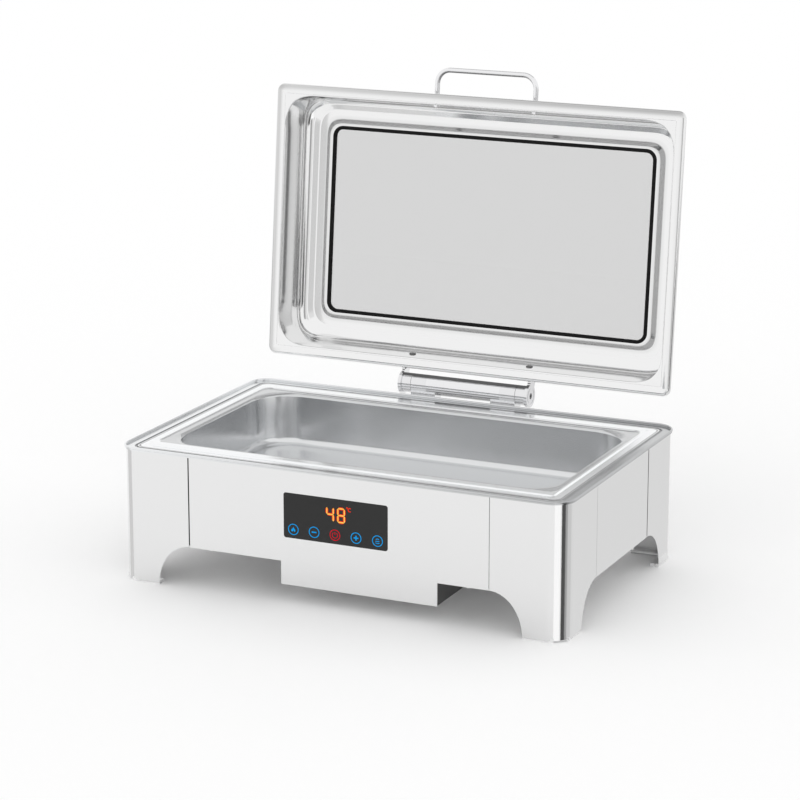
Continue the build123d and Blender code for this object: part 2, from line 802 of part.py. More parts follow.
# Appliance inlet, three pins and two screws
inlet_face = Plane(origin=(inlet_x, box_rear, inlet_z), x_dir=(-1, 0, 0), z_dir=(0, 1, 0))
with BuildPart() as mains_inlet:
    with BuildSketch(inlet_face):
        RectangleRounded(inlet_flange_width, inlet_flange_height, inlet_flange_thickness)
        with GridLocations(inlet_screw_spacing, 0, 2, 1):
            Circle(inlet_screw_diameter / 2, mode=Mode.SUBTRACT)
    extrude(amount=inlet_flange_thickness)
    with BuildSketch(inlet_face):
        Rectangle(inlet_body_width, inlet_body_height)
    extrude(amount=-inlet_body_depth)
    with BuildSketch(inlet_face.offset(inlet_flange_thickness)) as inlet_mouth:
        Rectangle(inlet_body_width - 2 * inlet_wall, inlet_body_height - 2 * inlet_wall)
        chamfer(inlet_mouth.vertices().sort_by(Axis.Y)[2:], inlet_chamfer)
    extrude(amount=-inlet_flange_thickness - inlet_body_depth + inlet_floor, mode=Mode.SUBTRACT)
    with BuildSketch(inlet_face.offset(-inlet_body_depth)):
        with Locations((-pin_spacing, -pin_drop / 2), (0, pin_drop / 2), (pin_spacing, -pin_drop / 2)):
            Rectangle(pin_width, pin_height)
    extrude(amount=inlet_floor, mode=Mode.SUBTRACT)
mains_inlet.part.label = "mains_inlet"
export_step(mains_inlet.part, "parts/mains_inlet.step")

with BuildPart() as inlet_pins:
    with BuildSketch(inlet_face.offset(-inlet_body_depth - pin_tail)):
        with Locations((-pin_spacing, -pin_drop / 2), (0, pin_drop / 2), (pin_spacing, -pin_drop / 2)):
            Rectangle(pin_width, pin_height)
    extrude(amount=pin_tail + inlet_floor + pin_length)
inlet_pins.part.label = "inlet_pins"
export_step(inlet_pins.part, "parts/inlet_pins.step")

with BuildPart() as inlet_screws:
    for place in (-1, 1):
        add(
            round_screw(
                Plane(
                    origin=(
                        inlet_x + place * inlet_screw_spacing / 2,
                        box_rear + inlet_flange_thickness,
                        inlet_z,
                    ),
                    x_dir=(1, 0, 0),
                    z_dir=(0, 1, 0),
                ),
                inlet_screw_head,
                inlet_screw_head_height,
                inlet_screw_diameter,
                inlet_flange_thickness + box_sheet + overrun,
            )
        )
inlet_screws.part.label = "inlet_screws"
export_step(inlet_screws.part, "parts/inlet_screws.step")

# Touch glass in the front panel, with its frame, display, pads and board behind
glass_front = -half_depth - glass_proud
glass_back = glass_front + glass_thickness
glass_middle = glass_bottom + glass_height / 2
panel_back = -half_depth + shell_sheet
frame_back = panel_back + frame_depth
with BuildPart() as control_glass:
    with BuildSketch(Plane.XZ.offset(-glass_front)):
        with Locations((0, glass_middle)):
            RectangleRounded(glass_width, glass_height, glass_corner)
    extrude(amount=-glass_thickness)
control_glass.part.label = "control_glass"
export_step(control_glass.part, "parts/control_glass.step")

with BuildPart() as display_frame:
    with BuildSketch(Plane.XZ.offset(-panel_back)):
        with Locations((0, glass_middle)):
            RectangleRounded(
                glass_width + 2 * frame_margin, glass_height + 2 * frame_margin, glass_corner + frame_margin
            )
    extrude(amount=-frame_depth)
    with BuildSketch(Plane.XZ.offset(-panel_back)):
        with Locations((0, glass_middle)):
            RectangleRounded(
                glass_width + 2 * glass_gap, glass_height + 2 * glass_gap, glass_corner + glass_gap
            )
    extrude(amount=panel_back - glass_back, mode=Mode.SUBTRACT)
    with BuildSketch(Plane.XZ.offset(-panel_back)):
        with Locations((0, glass_middle)):
            Rectangle(glass_width - 2 * frame_lip, glass_height - 2 * frame_lip)
    extrude(amount=-frame_depth + frame_wall, mode=Mode.SUBTRACT)
display_frame.part.label = "display_frame"
export_step(display_frame.part, "parts/display_frame.step")

board_front = glass_back + display_thickness
with BuildPart() as display_board:
    with BuildSketch(Plane.XZ.offset(-board_front)):
        with Locations((0, glass_middle)):
            Rectangle(
                glass_width - 2 * frame_lip - 2 * loose_clearance,
                glass_height - 2 * frame_lip - 2 * loose_clearance,
            )
    extrude(amount=-(frame_back - frame_wall - board_front))
display_board.part.label = "display_board"
export_step(display_board.part, "parts/display_board.step")

with BuildPart() as display_module:
    with BuildSketch(Plane.XZ.offset(-glass_back)):
        with Locations((display_centre, display_centre_height)):
            Rectangle(display_width, display_height)
    extrude(amount=-display_thickness)
display_module.part.label = "display_module"
export_step(display_module.part, "parts/display_module.step")

with BuildPart() as touch_pads:
    with BuildSketch(Plane.XZ.offset(-glass_back)):
        with Locations((touch_pad_offset, touch_pad_height)):
            with GridLocations(touch_pad_pitch, 0, 5, 1):
                Circle(touch_pad_diameter / 2)
    extrude(amount=-display_thickness)
touch_pads.part.label = "touch_pads"
export_step(touch_pads.part, "parts/touch_pads.step")

# Hinge: a fixed barrel between two knuckled saddles, on a shaft that turns with the lid
axis_y = half_depth + hinge_back
axis_z = band_top + hinge_rise
barrel_radius = barrel_diameter / 2
shaft_radius = shaft_diameter / 2
with BuildPart() as hinge_barrel:
    with BuildSketch(Plane.YZ.offset(-barrel_half_length)):
        with Locations((axis_y, axis_z)):
            Circle(barrel_radius)
            Circle(barrel_bore / 2, mode=Mode.SUBTRACT)
    extrude(amount=2 * barrel_half_length)
hinge_barrel.part.label = "hinge_barrel"
export_step(hinge_barrel.part, "parts/hinge_barrel.step")

with BuildPart() as hinge_bushings:
    for start in (-barrel_half_length, barrel_half_length - bushing_length):
        with BuildSketch(Plane.YZ.offset(start)):
            with Locations((axis_y, axis_z)):
                Circle(barrel_bore / 2)
                Circle(shaft_radius + running_clearance, mode=Mode.SUBTRACT)
        extrude(amount=bushing_length)
hinge_bushings.part.label = "hinge_bushings"
export_step(hinge_bushings.part, "parts/hinge_bushings.step")

# Saddle outline in the YZ plane: a plate on the rear panel that steps out past the bead
saddle_in = half_depth + bead_overhang + saddle_bead_gap
saddle_out = axis_y + saddle_reach
saddle_outline = [
    (half_depth, saddle_plate_bottom),
    (half_depth, saddle_neck_top),
    (saddle_in, saddle_neck_top + saddle_in - half_depth),
    (saddle_in, axis_z - barrel_radius / 2),
    (saddle_out, axis_z - barrel_radius / 2),
    (saddle_out, saddle_neck_top),
    (half_depth + saddle_plate, saddle_neck_top - saddle_reach),
    (half_depth + saddle_plate, saddle_plate_bottom),
]
saddle_middle = (saddle_start + knuckle_end) / 2
for side_name, side_sign in (("left", -1), ("right", 1)):
    with BuildPart() as hinge_saddle:
        with BuildSketch(Plane.YZ.offset(side_sign * saddle_start)):
            with BuildLine():
                Polyline(*saddle_outline, close=True)
            make_face()
        extrude(amount=side_sign * (knuckle_end - saddle_start))
        with BuildSketch(Plane.YZ.offset(side_sign * saddle_start)):
            with Locations((axis_y, axis_z)):
                Circle(barrel_radius)
        extrude(amount=side_sign * (barrel_half_length - saddle_start), mode=Mode.SUBTRACT)
        with BuildSketch(Plane.YZ.offset(side_sign * barrel_half_length)):
            with Locations((axis_y, axis_z)):
                Circle(barrel_radius)
        extrude(amount=side_sign * (knuckle_end - barrel_half_length))
        with BuildSketch(Plane.YZ.offset(side_sign * knuckle_end)):
            with BuildLine():
                tooth_arc = CenterArc((axis_y, axis_z), barrel_radius, -stop_tooth_angle / 2, stop_tooth_angle)
                Line(tooth_arc @ 1, (axis_y, axis_z))
                Line((axis_y, axis_z), tooth_arc @ 0)
            make_face()
            with Locations((axis_y, axis_z)):
                Circle(stop_inner_radius, mode=Mode.SUBTRACT)
        extrude(amount=side_sign * stop_tooth_length)
        with BuildSketch(Plane.YZ.offset(side_sign * saddle_start)):
            with Locations((axis_y, axis_z)):
                Circle(shaft_radius + running_clearance)
        extrude(amount=side_sign * (knuckle_end - saddle_start + stop_tooth_length), mode=Mode.SUBTRACT)
        with BuildSketch(Plane.XZ.offset(-half_depth)):
            with Locations(
                (side_sign * saddle_middle, saddle_screw_low), (side_sign * saddle_middle, saddle_screw_high)
            ):
                Circle(saddle_screw_diameter / 2)
        extrude(amount=-saddle_reach - hinge_back, mode=Mode.SUBTRACT)
    hinge_saddle.part.label = f"hinge_saddle_{side_name}"
    export_step(hinge_saddle.part, f"parts/hinge_saddle_{side_name}.step")

# Screws, nuts and a backing plate that hold the saddles to the rear panel
backing_front = half_depth - shell_sheet - backing_sheet
with BuildPart() as hinge_backing:
    with BuildSketch(Plane.XZ.offset(-backing_front)):
        with Locations((0, (saddle_plate_bottom + saddle_neck_top) / 2)):
            Rectangle(2 * backing_half_width, saddle_neck_top - saddle_plate_bottom)
        for place in (-1, 1):
            with Locations((place * saddle_middle, saddle_screw_low), (place * saddle_middle, saddle_screw_high)):
                Circle(saddle_screw_diameter / 2, mode=Mode.SUBTRACT)
    extrude(amount=-backing_sheet)
hinge_backing.part.label = "hinge_backing"
export_step(hinge_backing.part, "parts/hinge_backing.step")

saddle_stack = saddle_plate + shell_sheet + backing_sheet + nut_height
with BuildPart() as saddle_screws:
    for place in (-1, 1):
        for height in (saddle_screw_low, saddle_screw_high):
            add(
                round_screw(
                    Plane(
                        origin=(place * saddle_middle, half_depth + saddle_plate, height),
                        x_dir=(1, 0, 0),
                        z_dir=(0, 1, 0),
                    ),
                    saddle_screw_head,
                    saddle_screw_head_height,
                    saddle_screw_diameter,
                    saddle_stack + overrun,
                )
            )
saddle_screws.part.label = "saddle_screws"
export_step(saddle_screws.part, "parts/saddle_screws.step")

with BuildPart() as saddle_nuts:
    with BuildSketch(Plane.XZ.offset(-backing_front)):
        for place in (-1, 1):
            with Locations((place * saddle_middle, saddle_screw_low), (place * saddle_middle, saddle_screw_high)):
                RegularPolygon(nut_across / sqrt(3), 6)
                Circle(saddle_screw_diameter / 2, mode=Mode.SUBTRACT)
    extrude(amount=nut_height)
saddle_nuts.part.label = "saddle_nuts"
export_step(saddle_nuts.part, "parts/saddle_nuts.step")

# Lid frame: its plane is the flange's face, X along the hinge, Y up the open lid
lid_width = opening_width - 2 * lid_side_gap
lid_length = axis_y - hinge_to_edge + half_depth - lid_front_setback
lean = radians(180 - lid_open_angle)
lid_up = Vector(0, cos(lean), sin(lean))
lid_out = Vector(0, -sin(lean), cos(lean))
hinge_axis = Vector(0, axis_y, axis_z)
lid_origin = hinge_axis + lid_up * hinge_to_edge + lid_out * hinge_to_flange
lid_plane = Plane(origin=lid_origin, x_dir=(1, 0, 0), z_dir=lid_out)
lid_centre = Plane(origin=lid_origin + lid_up * (lid_length / 2), x_dir=(1, 0, 0), z_dir=lid_out)
lid_axis = Axis(lid_origin, lid_out)


def lid_point(across, up, back):
    """A point of the open lid, from its rear edge up and from its flange back."""
    return lid_plane.from_local_coords(Vector(across, up, -back))


# Shell of the lid: beaded flange, round-cornered bowl and a stepped window seat
mouth_width = lid_width - 2 * mouth_side_inset
mouth_length = lid_length - 2 * mouth_end_inset
seat_width = mouth_width - 2 * recess_inset
seat_length = mouth_length - 2 * recess_inset
inner_bowl_depth = bowl_depth - lid_sheet
seat_depth = inner_bowl_depth - recess_depth
window_width = seat_width - 2 * window_side_margin
window_length = seat_length - 2 * window_end_margin
gasket_outer_band = window_end_margin - lid_sheet - gasket_seat_gap
hole_growth = window_bite + gasket_web
with BuildPart() as lid_cavity:
    with BuildSketch(lid_centre.offset(lid_bead_height + overrun)):
        RectangleRounded(mouth_width, mouth_length, mouth_corner_radius)
    extrude(amount=-inner_bowl_depth - lid_bead_height - overrun)
    fillet(lid_cavity.faces().sort_by(lid_axis)[0].edges(), bowl_edge_radius - lid_sheet)
    with BuildSketch(lid_centre.offset(-inner_bowl_depth)):
        RectangleRounded(seat_width, seat_length, recess_corner_radius)
    extrude(amount=recess_depth, mode=Mode.SUBTRACT)
    seat_edges = lid_cavity.faces().sort_by(lid_axis)[0].inner_wires()[0].edges()
    fillet(seat_edges, recess_radius)

bead_curve = (lid_bead_width**2 / 4 + lid_bead_height**2) / (2 * lid_bead_height)
with BuildSketch() as lid_bead_section:
    with Locations((0, lid_bead_height - bead_curve)):
        Circle(bead_curve)
        Circle(bead_curve - lid_sheet, mode=Mode.SUBTRACT)
    with Locations((0, -lid_sheet)):
        Rectangle(
            lid_bead_width,
            lid_bead_height + lid_sheet,
            align=(Align.CENTER, Align.MIN),
            mode=Mode.INTERSECT,
        )

wall_face = lid_length - mouth_end_inset + lid_sheet
foot_face = mouth_end_inset - lid_sheet
lid_bolt_places = [lid_point(place * lid_bolt_place, mouth_end_inset, lid_bolt_depth) for place in (-1, 1)]
stud_places = [lid_point(place * handle_span / 2, wall_face, handle_depth) for place in (-1, 1)]
with BuildPart() as lid_shell:
    with BuildSketch(lid_centre):
        RectangleRounded(
            lid_width - 2 * lid_bead_width,
            lid_length - 2 * lid_bead_width,
            lid_corner_radius - lid_bead_width,
        )
    extrude(amount=-lid_sheet)
    with BuildSketch(lid_centre):
        RectangleRounded(
            mouth_width + 2 * lid_sheet, mouth_length + 2 * lid_sheet, mouth_corner_radius + lid_sheet
        )
    extrude(amount=-bowl_depth)
    fillet(lid_shell.faces().sort_by(lid_axis)[0].edges(), bowl_edge_radius)
    flange_under = lid_shell.faces().filter_by(lid_plane).sort_by(lid_axis)[-2]
    fillet(flange_under.inner_wires()[0].edges(), mouth_edge_radius - lid_sheet)
    with BuildSketch(lid_centre.offset(-bowl_depth)):
        RectangleRounded(
            seat_width - 2 * lid_sheet, seat_length - 2 * lid_sheet, recess_corner_radius - lid_sheet
        )
    extrude(amount=recess_depth, mode=Mode.SUBTRACT)
    step_edges = lid_shell.faces().sort_by(lid_axis)[0].inner_wires()[0].edges()
    fillet(step_edges, recess_radius)
    add(lid_cavity.part, mode=Mode.SUBTRACT)
    flange_face = lid_shell.faces().filter_by(lid_plane).sort_by(lid_axis)[-1]
    fillet(flange_face.inner_wires()[0].edges(), mouth_edge_radius)
    with BuildSketch(lid_centre.offset(-bowl_depth)):
        RectangleRounded(
            window_width + 2 * hole_growth,
            window_length + 2 * hole_growth,
            window_corner_radius + hole_growth,
        )
    extrude(amount=bowl_depth, mode=Mode.SUBTRACT)
    add(
        swept_ring(
            lid_centre,
            lid_width - lid_bead_width,
            lid_length - lid_bead_width,
            lid_corner_radius - lid_bead_width / 2,
            lid_bead_section.sketch,
        )
    )
    for place in lid_bolt_places:
        with BuildSketch(Plane(origin=place + lid_up * overrun, x_dir=(1, 0, 0), z_dir=lid_up)):
            Circle(lid_bolt_diameter / 2)
        extrude(amount=-lid_sheet - 2 * overrun, mode=Mode.SUBTRACT)
    for place in stud_places:
        with BuildSketch(Plane(origin=place + lid_up * overrun, x_dir=(1, 0, 0), z_dir=lid_up)):
            Circle(handle_thread / 2)
        extrude(amount=-lid_sheet - 2 * overrun, mode=Mode.SUBTRACT)
lid_shell.part.label = "lid_shell"
export_step(lid_shell.part, "parts/lid_shell.step")

# Window pane in a rubber gasket that grips the edge of the seat
pane_face = seat_depth + window_lead
pane_back = pane_face + window_thickness
with BuildPart() as window_pane:
    with BuildSketch(lid_centre.offset(-pane_face)):
        RectangleRounded(
            window_width + 2 * window_bite, window_length + 2 * window_bite, window_corner_radius + window_bite
        )
    extrude(amount=-window_thickness)
window_pane.part.label = "window_pane"
export_step(window_pane.part, "parts/window_pane.step")

with BuildPart() as window_gasket:
    for growth, front, back in (
        (gasket_band, seat_depth - gasket_lip, seat_depth),
        (hole_growth, seat_depth, seat_depth + lid_sheet),
        (gasket_outer_band, seat_depth + lid_sheet, pane_back + gasket_lip),
    ):
        with BuildSketch(lid_centre.offset(-front)):
            RectangleRounded(window_width + 2 * growth, window_length + 2 * growth, window_corner_radius + growth)
            RectangleRounded(window_width, window_length, window_corner_radius, mode=Mode.SUBTRACT)
        extrude(amount=front - back)
    add(window_pane.part, mode=Mode.SUBTRACT)
window_gasket.part.label = "window_gasket"
export_step(window_gasket.part, "parts/window_gasket.step")

# Lid arms: collar, disc, arm and foot in one casting at each end of the hinge
stop_sweep = lid_open_angle + stop_tooth_angle + 2 * stop_clearance_angle
stop_start = -stop_tooth_angle / 2 - lid_open_angle - stop_clearance_angle
foot_back = arm_foot_start + arm_foot_depth
for side_name, side_sign in (("left", -1), ("right", 1)):
    collar_plane = Plane.YZ.offset(side_sign * (knuckle_end + joint_gap))
    disc_plane = Plane.YZ.offset(side_sign * collar_end)
    face_plane = Plane.YZ.offset(side_sign * disc_end)
    with BuildPart() as hinge_arm:
        with BuildSketch(collar_plane):
            with Locations((axis_y, axis_z)):
                Circle(barrel_radius)
        extrude(amount=side_sign * (collar_end - knuckle_end - joint_gap))
        with BuildSketch(disc_plane):
            with Locations((axis_y, axis_z)):
                Circle(disc_diameter / 2)
            with BuildLine():
                Polyline(
                    *(
                        (corner.Y, corner.Z)
                        for corner in (
                            lid_point(0, -hinge_to_edge, hinge_to_flange - arm_width / 2),
                            lid_point(0, -hinge_to_edge, hinge_to_flange + arm_width / 2),
                            lid_point(0, foot_face, foot_back),
                            lid_point(0, foot_face, arm_foot_start),
                        )
                    ),
                    close=True,
                )
            make_face()
        extrude(amount=side_sign * (disc_end - collar_end))
        foot_corner = lid_point(side_sign * arm_foot_inner, foot_face, arm_foot_start)
        with BuildSketch(Plane(origin=foot_corner, x_dir=(side_sign, 0, 0), z_dir=lid_up)):
            Rectangle(
                disc_end - arm_foot_inner,
                arm_foot_depth,
                align=(Align.MIN, Align.MAX if side_sign < 0 else Align.MIN),
            )
        extrude(amount=-arm_foot_thickness)
        with BuildSketch(Plane(origin=lid_bolt_places[(side_sign + 1) // 2], x_dir=(1, 0, 0), z_dir=lid_up)):
            Circle(lid_bolt_diameter / 2)
        extrude(amount=-lid_sheet - arm_foot_thickness - overrun, mode=Mode.SUBTRACT)
        with BuildSketch(collar_plane):
            with BuildLine():
                stop_arc = CenterArc((axis_y, axis_z), barrel_diameter, stop_start, stop_sweep)
                Line(stop_arc @ 1, (axis_y, axis_z))
                Line((axis_y, axis_z), stop_arc @ 0)
            make_face()
            with Locations((axis_y, axis_z)):
                Circle(stop_inner_radius - loose_clearance, mode=Mode.SUBTRACT)
        extrude(amount=side_sign * stop_tooth_length, mode=Mode.SUBTRACT)
        with BuildSketch(collar_plane):
            with Locations((axis_y, axis_z)):
                Circle(shaft_radius)
        extrude(amount=side_sign * (shaft_end - knuckle_end - joint_gap), mode=Mode.SUBTRACT)
        with BuildSketch(disc_plane):
            with Locations((axis_y, axis_z)):
                Circle(end_screw_diameter / 2)
        extrude(amount=side_sign * (disc_end - collar_end), mode=Mode.SUBTRACT)
        with BuildSketch(face_plane):
            with Locations((axis_y, axis_z)):
                Circle(end_screw_head / 2 + loose_clearance)
        extrude(amount=-side_sign * end_screw_head_height, mode=Mode.SUBTRACT)
        with BuildSketch(face_plane):
            with Locations((axis_y, axis_z)):
                Circle(disc_groove_diameter / 2)
                Circle(disc_groove_diameter / 2 - disc_groove_width, mode=Mode.SUBTRACT)
        extrude(amount=-side_sign * disc_groove_depth, mode=Mode.SUBTRACT)
    hinge_arm.part.label = f"hinge_arm_{side_name}"
    export_step(hinge_arm.part, f"parts/hinge_arm_{side_name}.step")

with BuildPart() as hinge_shaft:
    with BuildSketch(Plane.YZ.offset(-shaft_end)):
        with Locations((axis_y, axis_z)):
            Circle(shaft_radius)
    extrude(amount=2 * shaft_end)
    for side_sign in (-1, 1):
        with BuildSketch(Plane.YZ.offset(side_sign * shaft_end)):
            with Locations((axis_y, axis_z)):
                Circle(end_screw_diameter / 2)
        extrude(amount=-side_sign * end_screw_length, mode=Mode.SUBTRACT)
hinge_shaft.part.label = "hinge_shaft"
export_step(hinge_shaft.part, "parts/hinge_shaft.step")

with BuildPart() as hinge_end_screws:
    for side_sign in (-1, 1):
        head_base = side_sign * (disc_end - end_screw_head_height)
        with BuildSketch(Plane.YZ.offset(head_base)):
            with Locations((axis_y, axis_z)):
                Circle(end_screw_head / 2)
        extrude(amount=side_sign * end_screw_head_height)
        with BuildSketch(Plane.YZ.offset(head_base)):
            with Locations((axis_y, axis_z)):
                Circle(end_screw_diameter / 2)
        extrude(amount=-side_sign * end_screw_length)
        with BuildSketch(Plane.YZ.offset(side_sign * disc_end)):
            with Locations((axis_y, axis_z)):
                RegularPolygon(end_screw_diameter / 2, 6)
        extrude(amount=-side_sign * end_screw_head_height / 2, mode=Mode.SUBTRACT)
hinge_end_screws.part.label = "hinge_end_screws"
export_step(hinge_end_screws.part, "parts/hinge_end_screws.step")

# Bolts from inside the bowl through the rear wall and the arms' feet
bolt_stack = lid_sheet + arm_foot_thickness + nut_height
with BuildPart() as lid_bolts:
    for place in lid_bolt_places:
        add(
            round_screw(
                Plane(origin=place, x_dir=(1, 0, 0), z_dir=lid_up),
                lid_bolt_head,
                lid_bolt_head_height,
                lid_bolt_diameter,
                bolt_stack + overrun,
            )
        )
lid_bolts.part.label = "lid_bolts"
export_step(lid_bolts.part, "parts/lid_bolts.step")

with BuildPart() as lid_bolt_nuts:
    for place in lid_bolt_places:
        nut_face = place - lid_up * (lid_sheet + arm_foot_thickness)
        with BuildSketch(Plane(origin=nut_face, x_dir=(1, 0, 0), z_dir=lid_up)):
            RegularPolygon(lid_bolt_nut_across / 2, 6, major_radius=False, rotation=30)
            Circle(lid_bolt_diameter / 2, mode=Mode.SUBTRACT)
        extrude(amount=-nut_height)
lid_bolt_nuts.part.label = "lid_bolt_nuts"
export_step(lid_bolt_nuts.part, "parts/lid_bolt_nuts.step")

# Handle: a bent rod whose threaded ends pass through the bowl's front wall
handle_plane = lid_plane.offset(-handle_depth)
leg_start = wall_face + handle_washer_thickness
stud_length = lid_sheet + 2 * handle_washer_thickness + handle_nut_height + handle_thread_end
with BuildPart() as lid_handle:
    with BuildLine(handle_plane) as handle_line:
        FilletPolyline(
            (-handle_span / 2, leg_start),
            (-handle_span / 2, wall_face + handle_reach),
            (handle_span / 2, wall_face + handle_reach),
            (handle_span / 2, leg_start),
            radius=handle_bend_radius,
        )
    handle_wire = handle_line.wire()
    with BuildSketch(Plane(origin=handle_wire @ 0, z_dir=handle_wire % 0)):
        Circle(handle_rod / 2)
    sweep(path=handle_wire)
    for place in stud_places:
        stud_base = place + lid_up * handle_washer_thickness
        with BuildSketch(Plane(origin=stud_base, x_dir=(1, 0, 0), z_dir=lid_up)):
            Circle(handle_thread / 2)
        extrude(amount=-stud_length)
lid_handle.part.label = "lid_handle"
export_step(lid_handle.part, "parts/lid_handle.step")

with BuildPart() as handle_washers:
    for place in stud_places:
        for base in (place, place - lid_up * (lid_sheet + handle_washer_thickness)):
            with BuildSketch(Plane(origin=base, x_dir=(1, 0, 0), z_dir=lid_up)):
                Circle(handle_washer / 2)
                Circle(handle_thread / 2, mode=Mode.SUBTRACT)
            extrude(amount=handle_washer_thickness)
handle_washers.part.label = "handle_washers"
export_step(handle_washers.part, "parts/handle_washers.step")

with BuildPart() as handle_nuts:
    for place in stud_places:
        nut_face = place - lid_up * (lid_sheet + handle_washer_thickness)
        with BuildSketch(Plane(origin=nut_face, x_dir=(1, 0, 0), z_dir=lid_up)):
            RegularPolygon(handle_nut_across / sqrt(3), 6)
            Circle(handle_thread / 2, mode=Mode.SUBTRACT)
        extrude(amount=-handle_nut_height)
handle_nuts.part.label = "handle_nuts"
export_step(handle_nuts.part, "parts/handle_nuts.step")
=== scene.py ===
# %% [markdown]
# # An electric chafing dish, dressed over its construction model
# The construction model gives every piece its size and its place, in metres. This
# lesson keeps that model as a frame, gives its metal, glass and rubber their finishes,
# and swaps the lid's shell, its gasket and the food pan for smoother surfaces worked out
# with numpy.

# %% Load the frame
import json
import math

import bpy
import numpy as np
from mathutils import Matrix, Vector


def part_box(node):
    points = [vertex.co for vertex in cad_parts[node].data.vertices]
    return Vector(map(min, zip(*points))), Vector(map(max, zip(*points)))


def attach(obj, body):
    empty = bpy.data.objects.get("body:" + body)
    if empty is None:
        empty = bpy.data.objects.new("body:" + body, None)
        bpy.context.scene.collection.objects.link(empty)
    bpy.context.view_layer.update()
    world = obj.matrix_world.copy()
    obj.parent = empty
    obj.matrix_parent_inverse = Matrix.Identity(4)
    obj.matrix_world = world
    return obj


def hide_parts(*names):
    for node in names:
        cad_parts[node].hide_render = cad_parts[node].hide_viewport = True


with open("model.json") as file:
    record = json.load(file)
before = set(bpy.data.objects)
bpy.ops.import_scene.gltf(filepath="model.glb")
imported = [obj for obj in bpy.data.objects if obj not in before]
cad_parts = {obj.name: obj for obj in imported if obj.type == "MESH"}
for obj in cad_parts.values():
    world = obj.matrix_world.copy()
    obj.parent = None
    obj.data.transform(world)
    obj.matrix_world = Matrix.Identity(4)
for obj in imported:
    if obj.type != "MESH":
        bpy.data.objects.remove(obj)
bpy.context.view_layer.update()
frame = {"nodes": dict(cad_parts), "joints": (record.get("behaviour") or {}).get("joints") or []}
nodes = frame["nodes"]
scene = bpy.context.scene

# %% [markdown]
# ## The camera
# A long lens from far off keeps the stand's edges nearly parallel. The place and the
# turn come from the lines of the stand and the lid, so the picture and the model share
# one view. The camera's bearing, in which direction it stands from the dish, is kept by
# name, because the cards for the metal are set out from it later.

# %% Camera
camera_tilt = math.radians(75.257)
camera_bearing = math.radians(24.749)
camera_data = bpy.data.cameras.new("camera")
camera_data.sensor_width = 36.0
camera_data.lens = 131.27
camera = bpy.data.objects.new("camera", camera_data)
camera.location = (1.4113, -3.0644, 1.0974)
camera.rotation_euler = (camera_tilt, 0.0, camera_bearing)
scene.collection.objects.link(camera)
scene.camera = camera
print("lens", camera_data.lens, "mm")

# %% [markdown]
# ## The light
# Polished steel has no look of its own: it shows what stands around it. A room could be
# lit with lamps, but each lamp would leave its own bright spot on the metal. A white
# world lights the dish evenly from all sides, so the panels read as pale grey metal.

# %% World
scene.view_settings.view_transform = "Standard"
world = bpy.data.worlds.new("studio")
scene.world = world
world.use_nodes = True
backdrop = world.node_tree.nodes["Background"]
backdrop.inputs["Color"].default_value = (1, 1, 1, 1)
backdrop.inputs["Strength"].default_value = 1.0
print("world strength", backdrop.inputs["Strength"].default_value)

# %% [markdown]
# ## Surfaces from arrays
# Blender has ready-made shapes, but a drawn sheet is none of them. A surface can be
# worked out instead: its points stand in rows and columns, and each point is joined to
# its neighbours by four-sided faces. Nearly every piece here is such a net, so the net is
# written once. A closed piece also has to show its outside, and its volume tells: added
# up with a sign, it comes out below nothing when the faces look inward.


# %% Nets of points
def net_faces(rows, columns, close_rows=False, close_columns=False):
    """Point numbers of the faces between neighbours in a net of rows by columns. A closed
    direction also joins its last line of points to its first."""
    index = np.arange(rows * columns).reshape(rows, columns)
    if close_rows:
        index = np.vstack([index, index[:1]])
    if close_columns:
        index = np.hstack([index, index[:, :1]])
    faces = np.stack([index[:-1, :-1], index[:-1, 1:], index[1:, 1:], index[1:, :-1]], axis=-1)
    return faces.reshape(-1, 4)


def signed_volume(points, faces):
    """Volume inside four-sided faces: each face is cut into two triangles, and each of
    them counts a sixth of the product of its first corner with its two sides."""
    corners = points.reshape(-1, 3)[faces]
    first = np.cross(corners[:, 1] - corners[:, 0], corners[:, 2] - corners[:, 0])
    second = np.cross(corners[:, 2] - corners[:, 0], corners[:, 3] - corners[:, 0])
    return np.einsum("ij,ij->", corners[:, 0], first + second) / 6


def mesh_from(name, points, faces, smooth=True):
    """A mesh from its points, in metres, and the point numbers of its faces."""
    mesh = bpy.data.meshes.new(name)
    mesh.from_pydata(points.reshape(-1, 3).tolist(), [], faces)
    if smooth:
        mesh.polygons.foreach_set("use_smooth", np.ones(len(faces), dtype=bool))
    mesh.update()
    return mesh


def net_mesh(name, points, close_rows=False, close_columns=False):
    """A mesh from a net of points, rows by columns by three. One that closes both ways is
    turned so that its faces look outward."""
    faces = net_faces(*points.shape[:2], close_rows, close_columns)
    if close_rows and signed_volume(points, faces) < 0:
        faces = faces[:, ::-1]
    return mesh_from(name, points, faces.tolist())


def add_object(name, mesh):
    """An object at the origin, unturned and unscaled, that shows a mesh."""
    thing = bpy.data.objects.new(name, mesh)
    scene.collection.objects.link(thing)
    return thing


print("a closed ring of 4 by 4 points has", len(net_faces(4, 4, True, True)), "faces")

# %% [markdown]
# ## The floor
# The floor could be left out and the world be its white, but then the feet would float.
# It stays a real white surface, so that the feet keep their soft contact shadow. It
# belongs to the picture and not to the dish.


# %% Floor
def new_material(name):
    """An empty node material: the material, its tree and its output node."""
    material = bpy.data.materials.new(name)
    material.use_nodes = True
    tree = material.node_tree
    tree.nodes.clear()
    output = tree.nodes.new("ShaderNodeOutputMaterial")
    return material, tree, output


def level_sheet(left, right, front, rear, height, steps=2):
    """A flat net of points at one height, between two sides and from front to rear."""
    across, along = np.meshgrid(
        np.linspace(left, right, steps), np.linspace(front, rear, steps), indexing="ij"
    )
    return np.stack([across, along, np.full_like(across, height)], axis=-1)


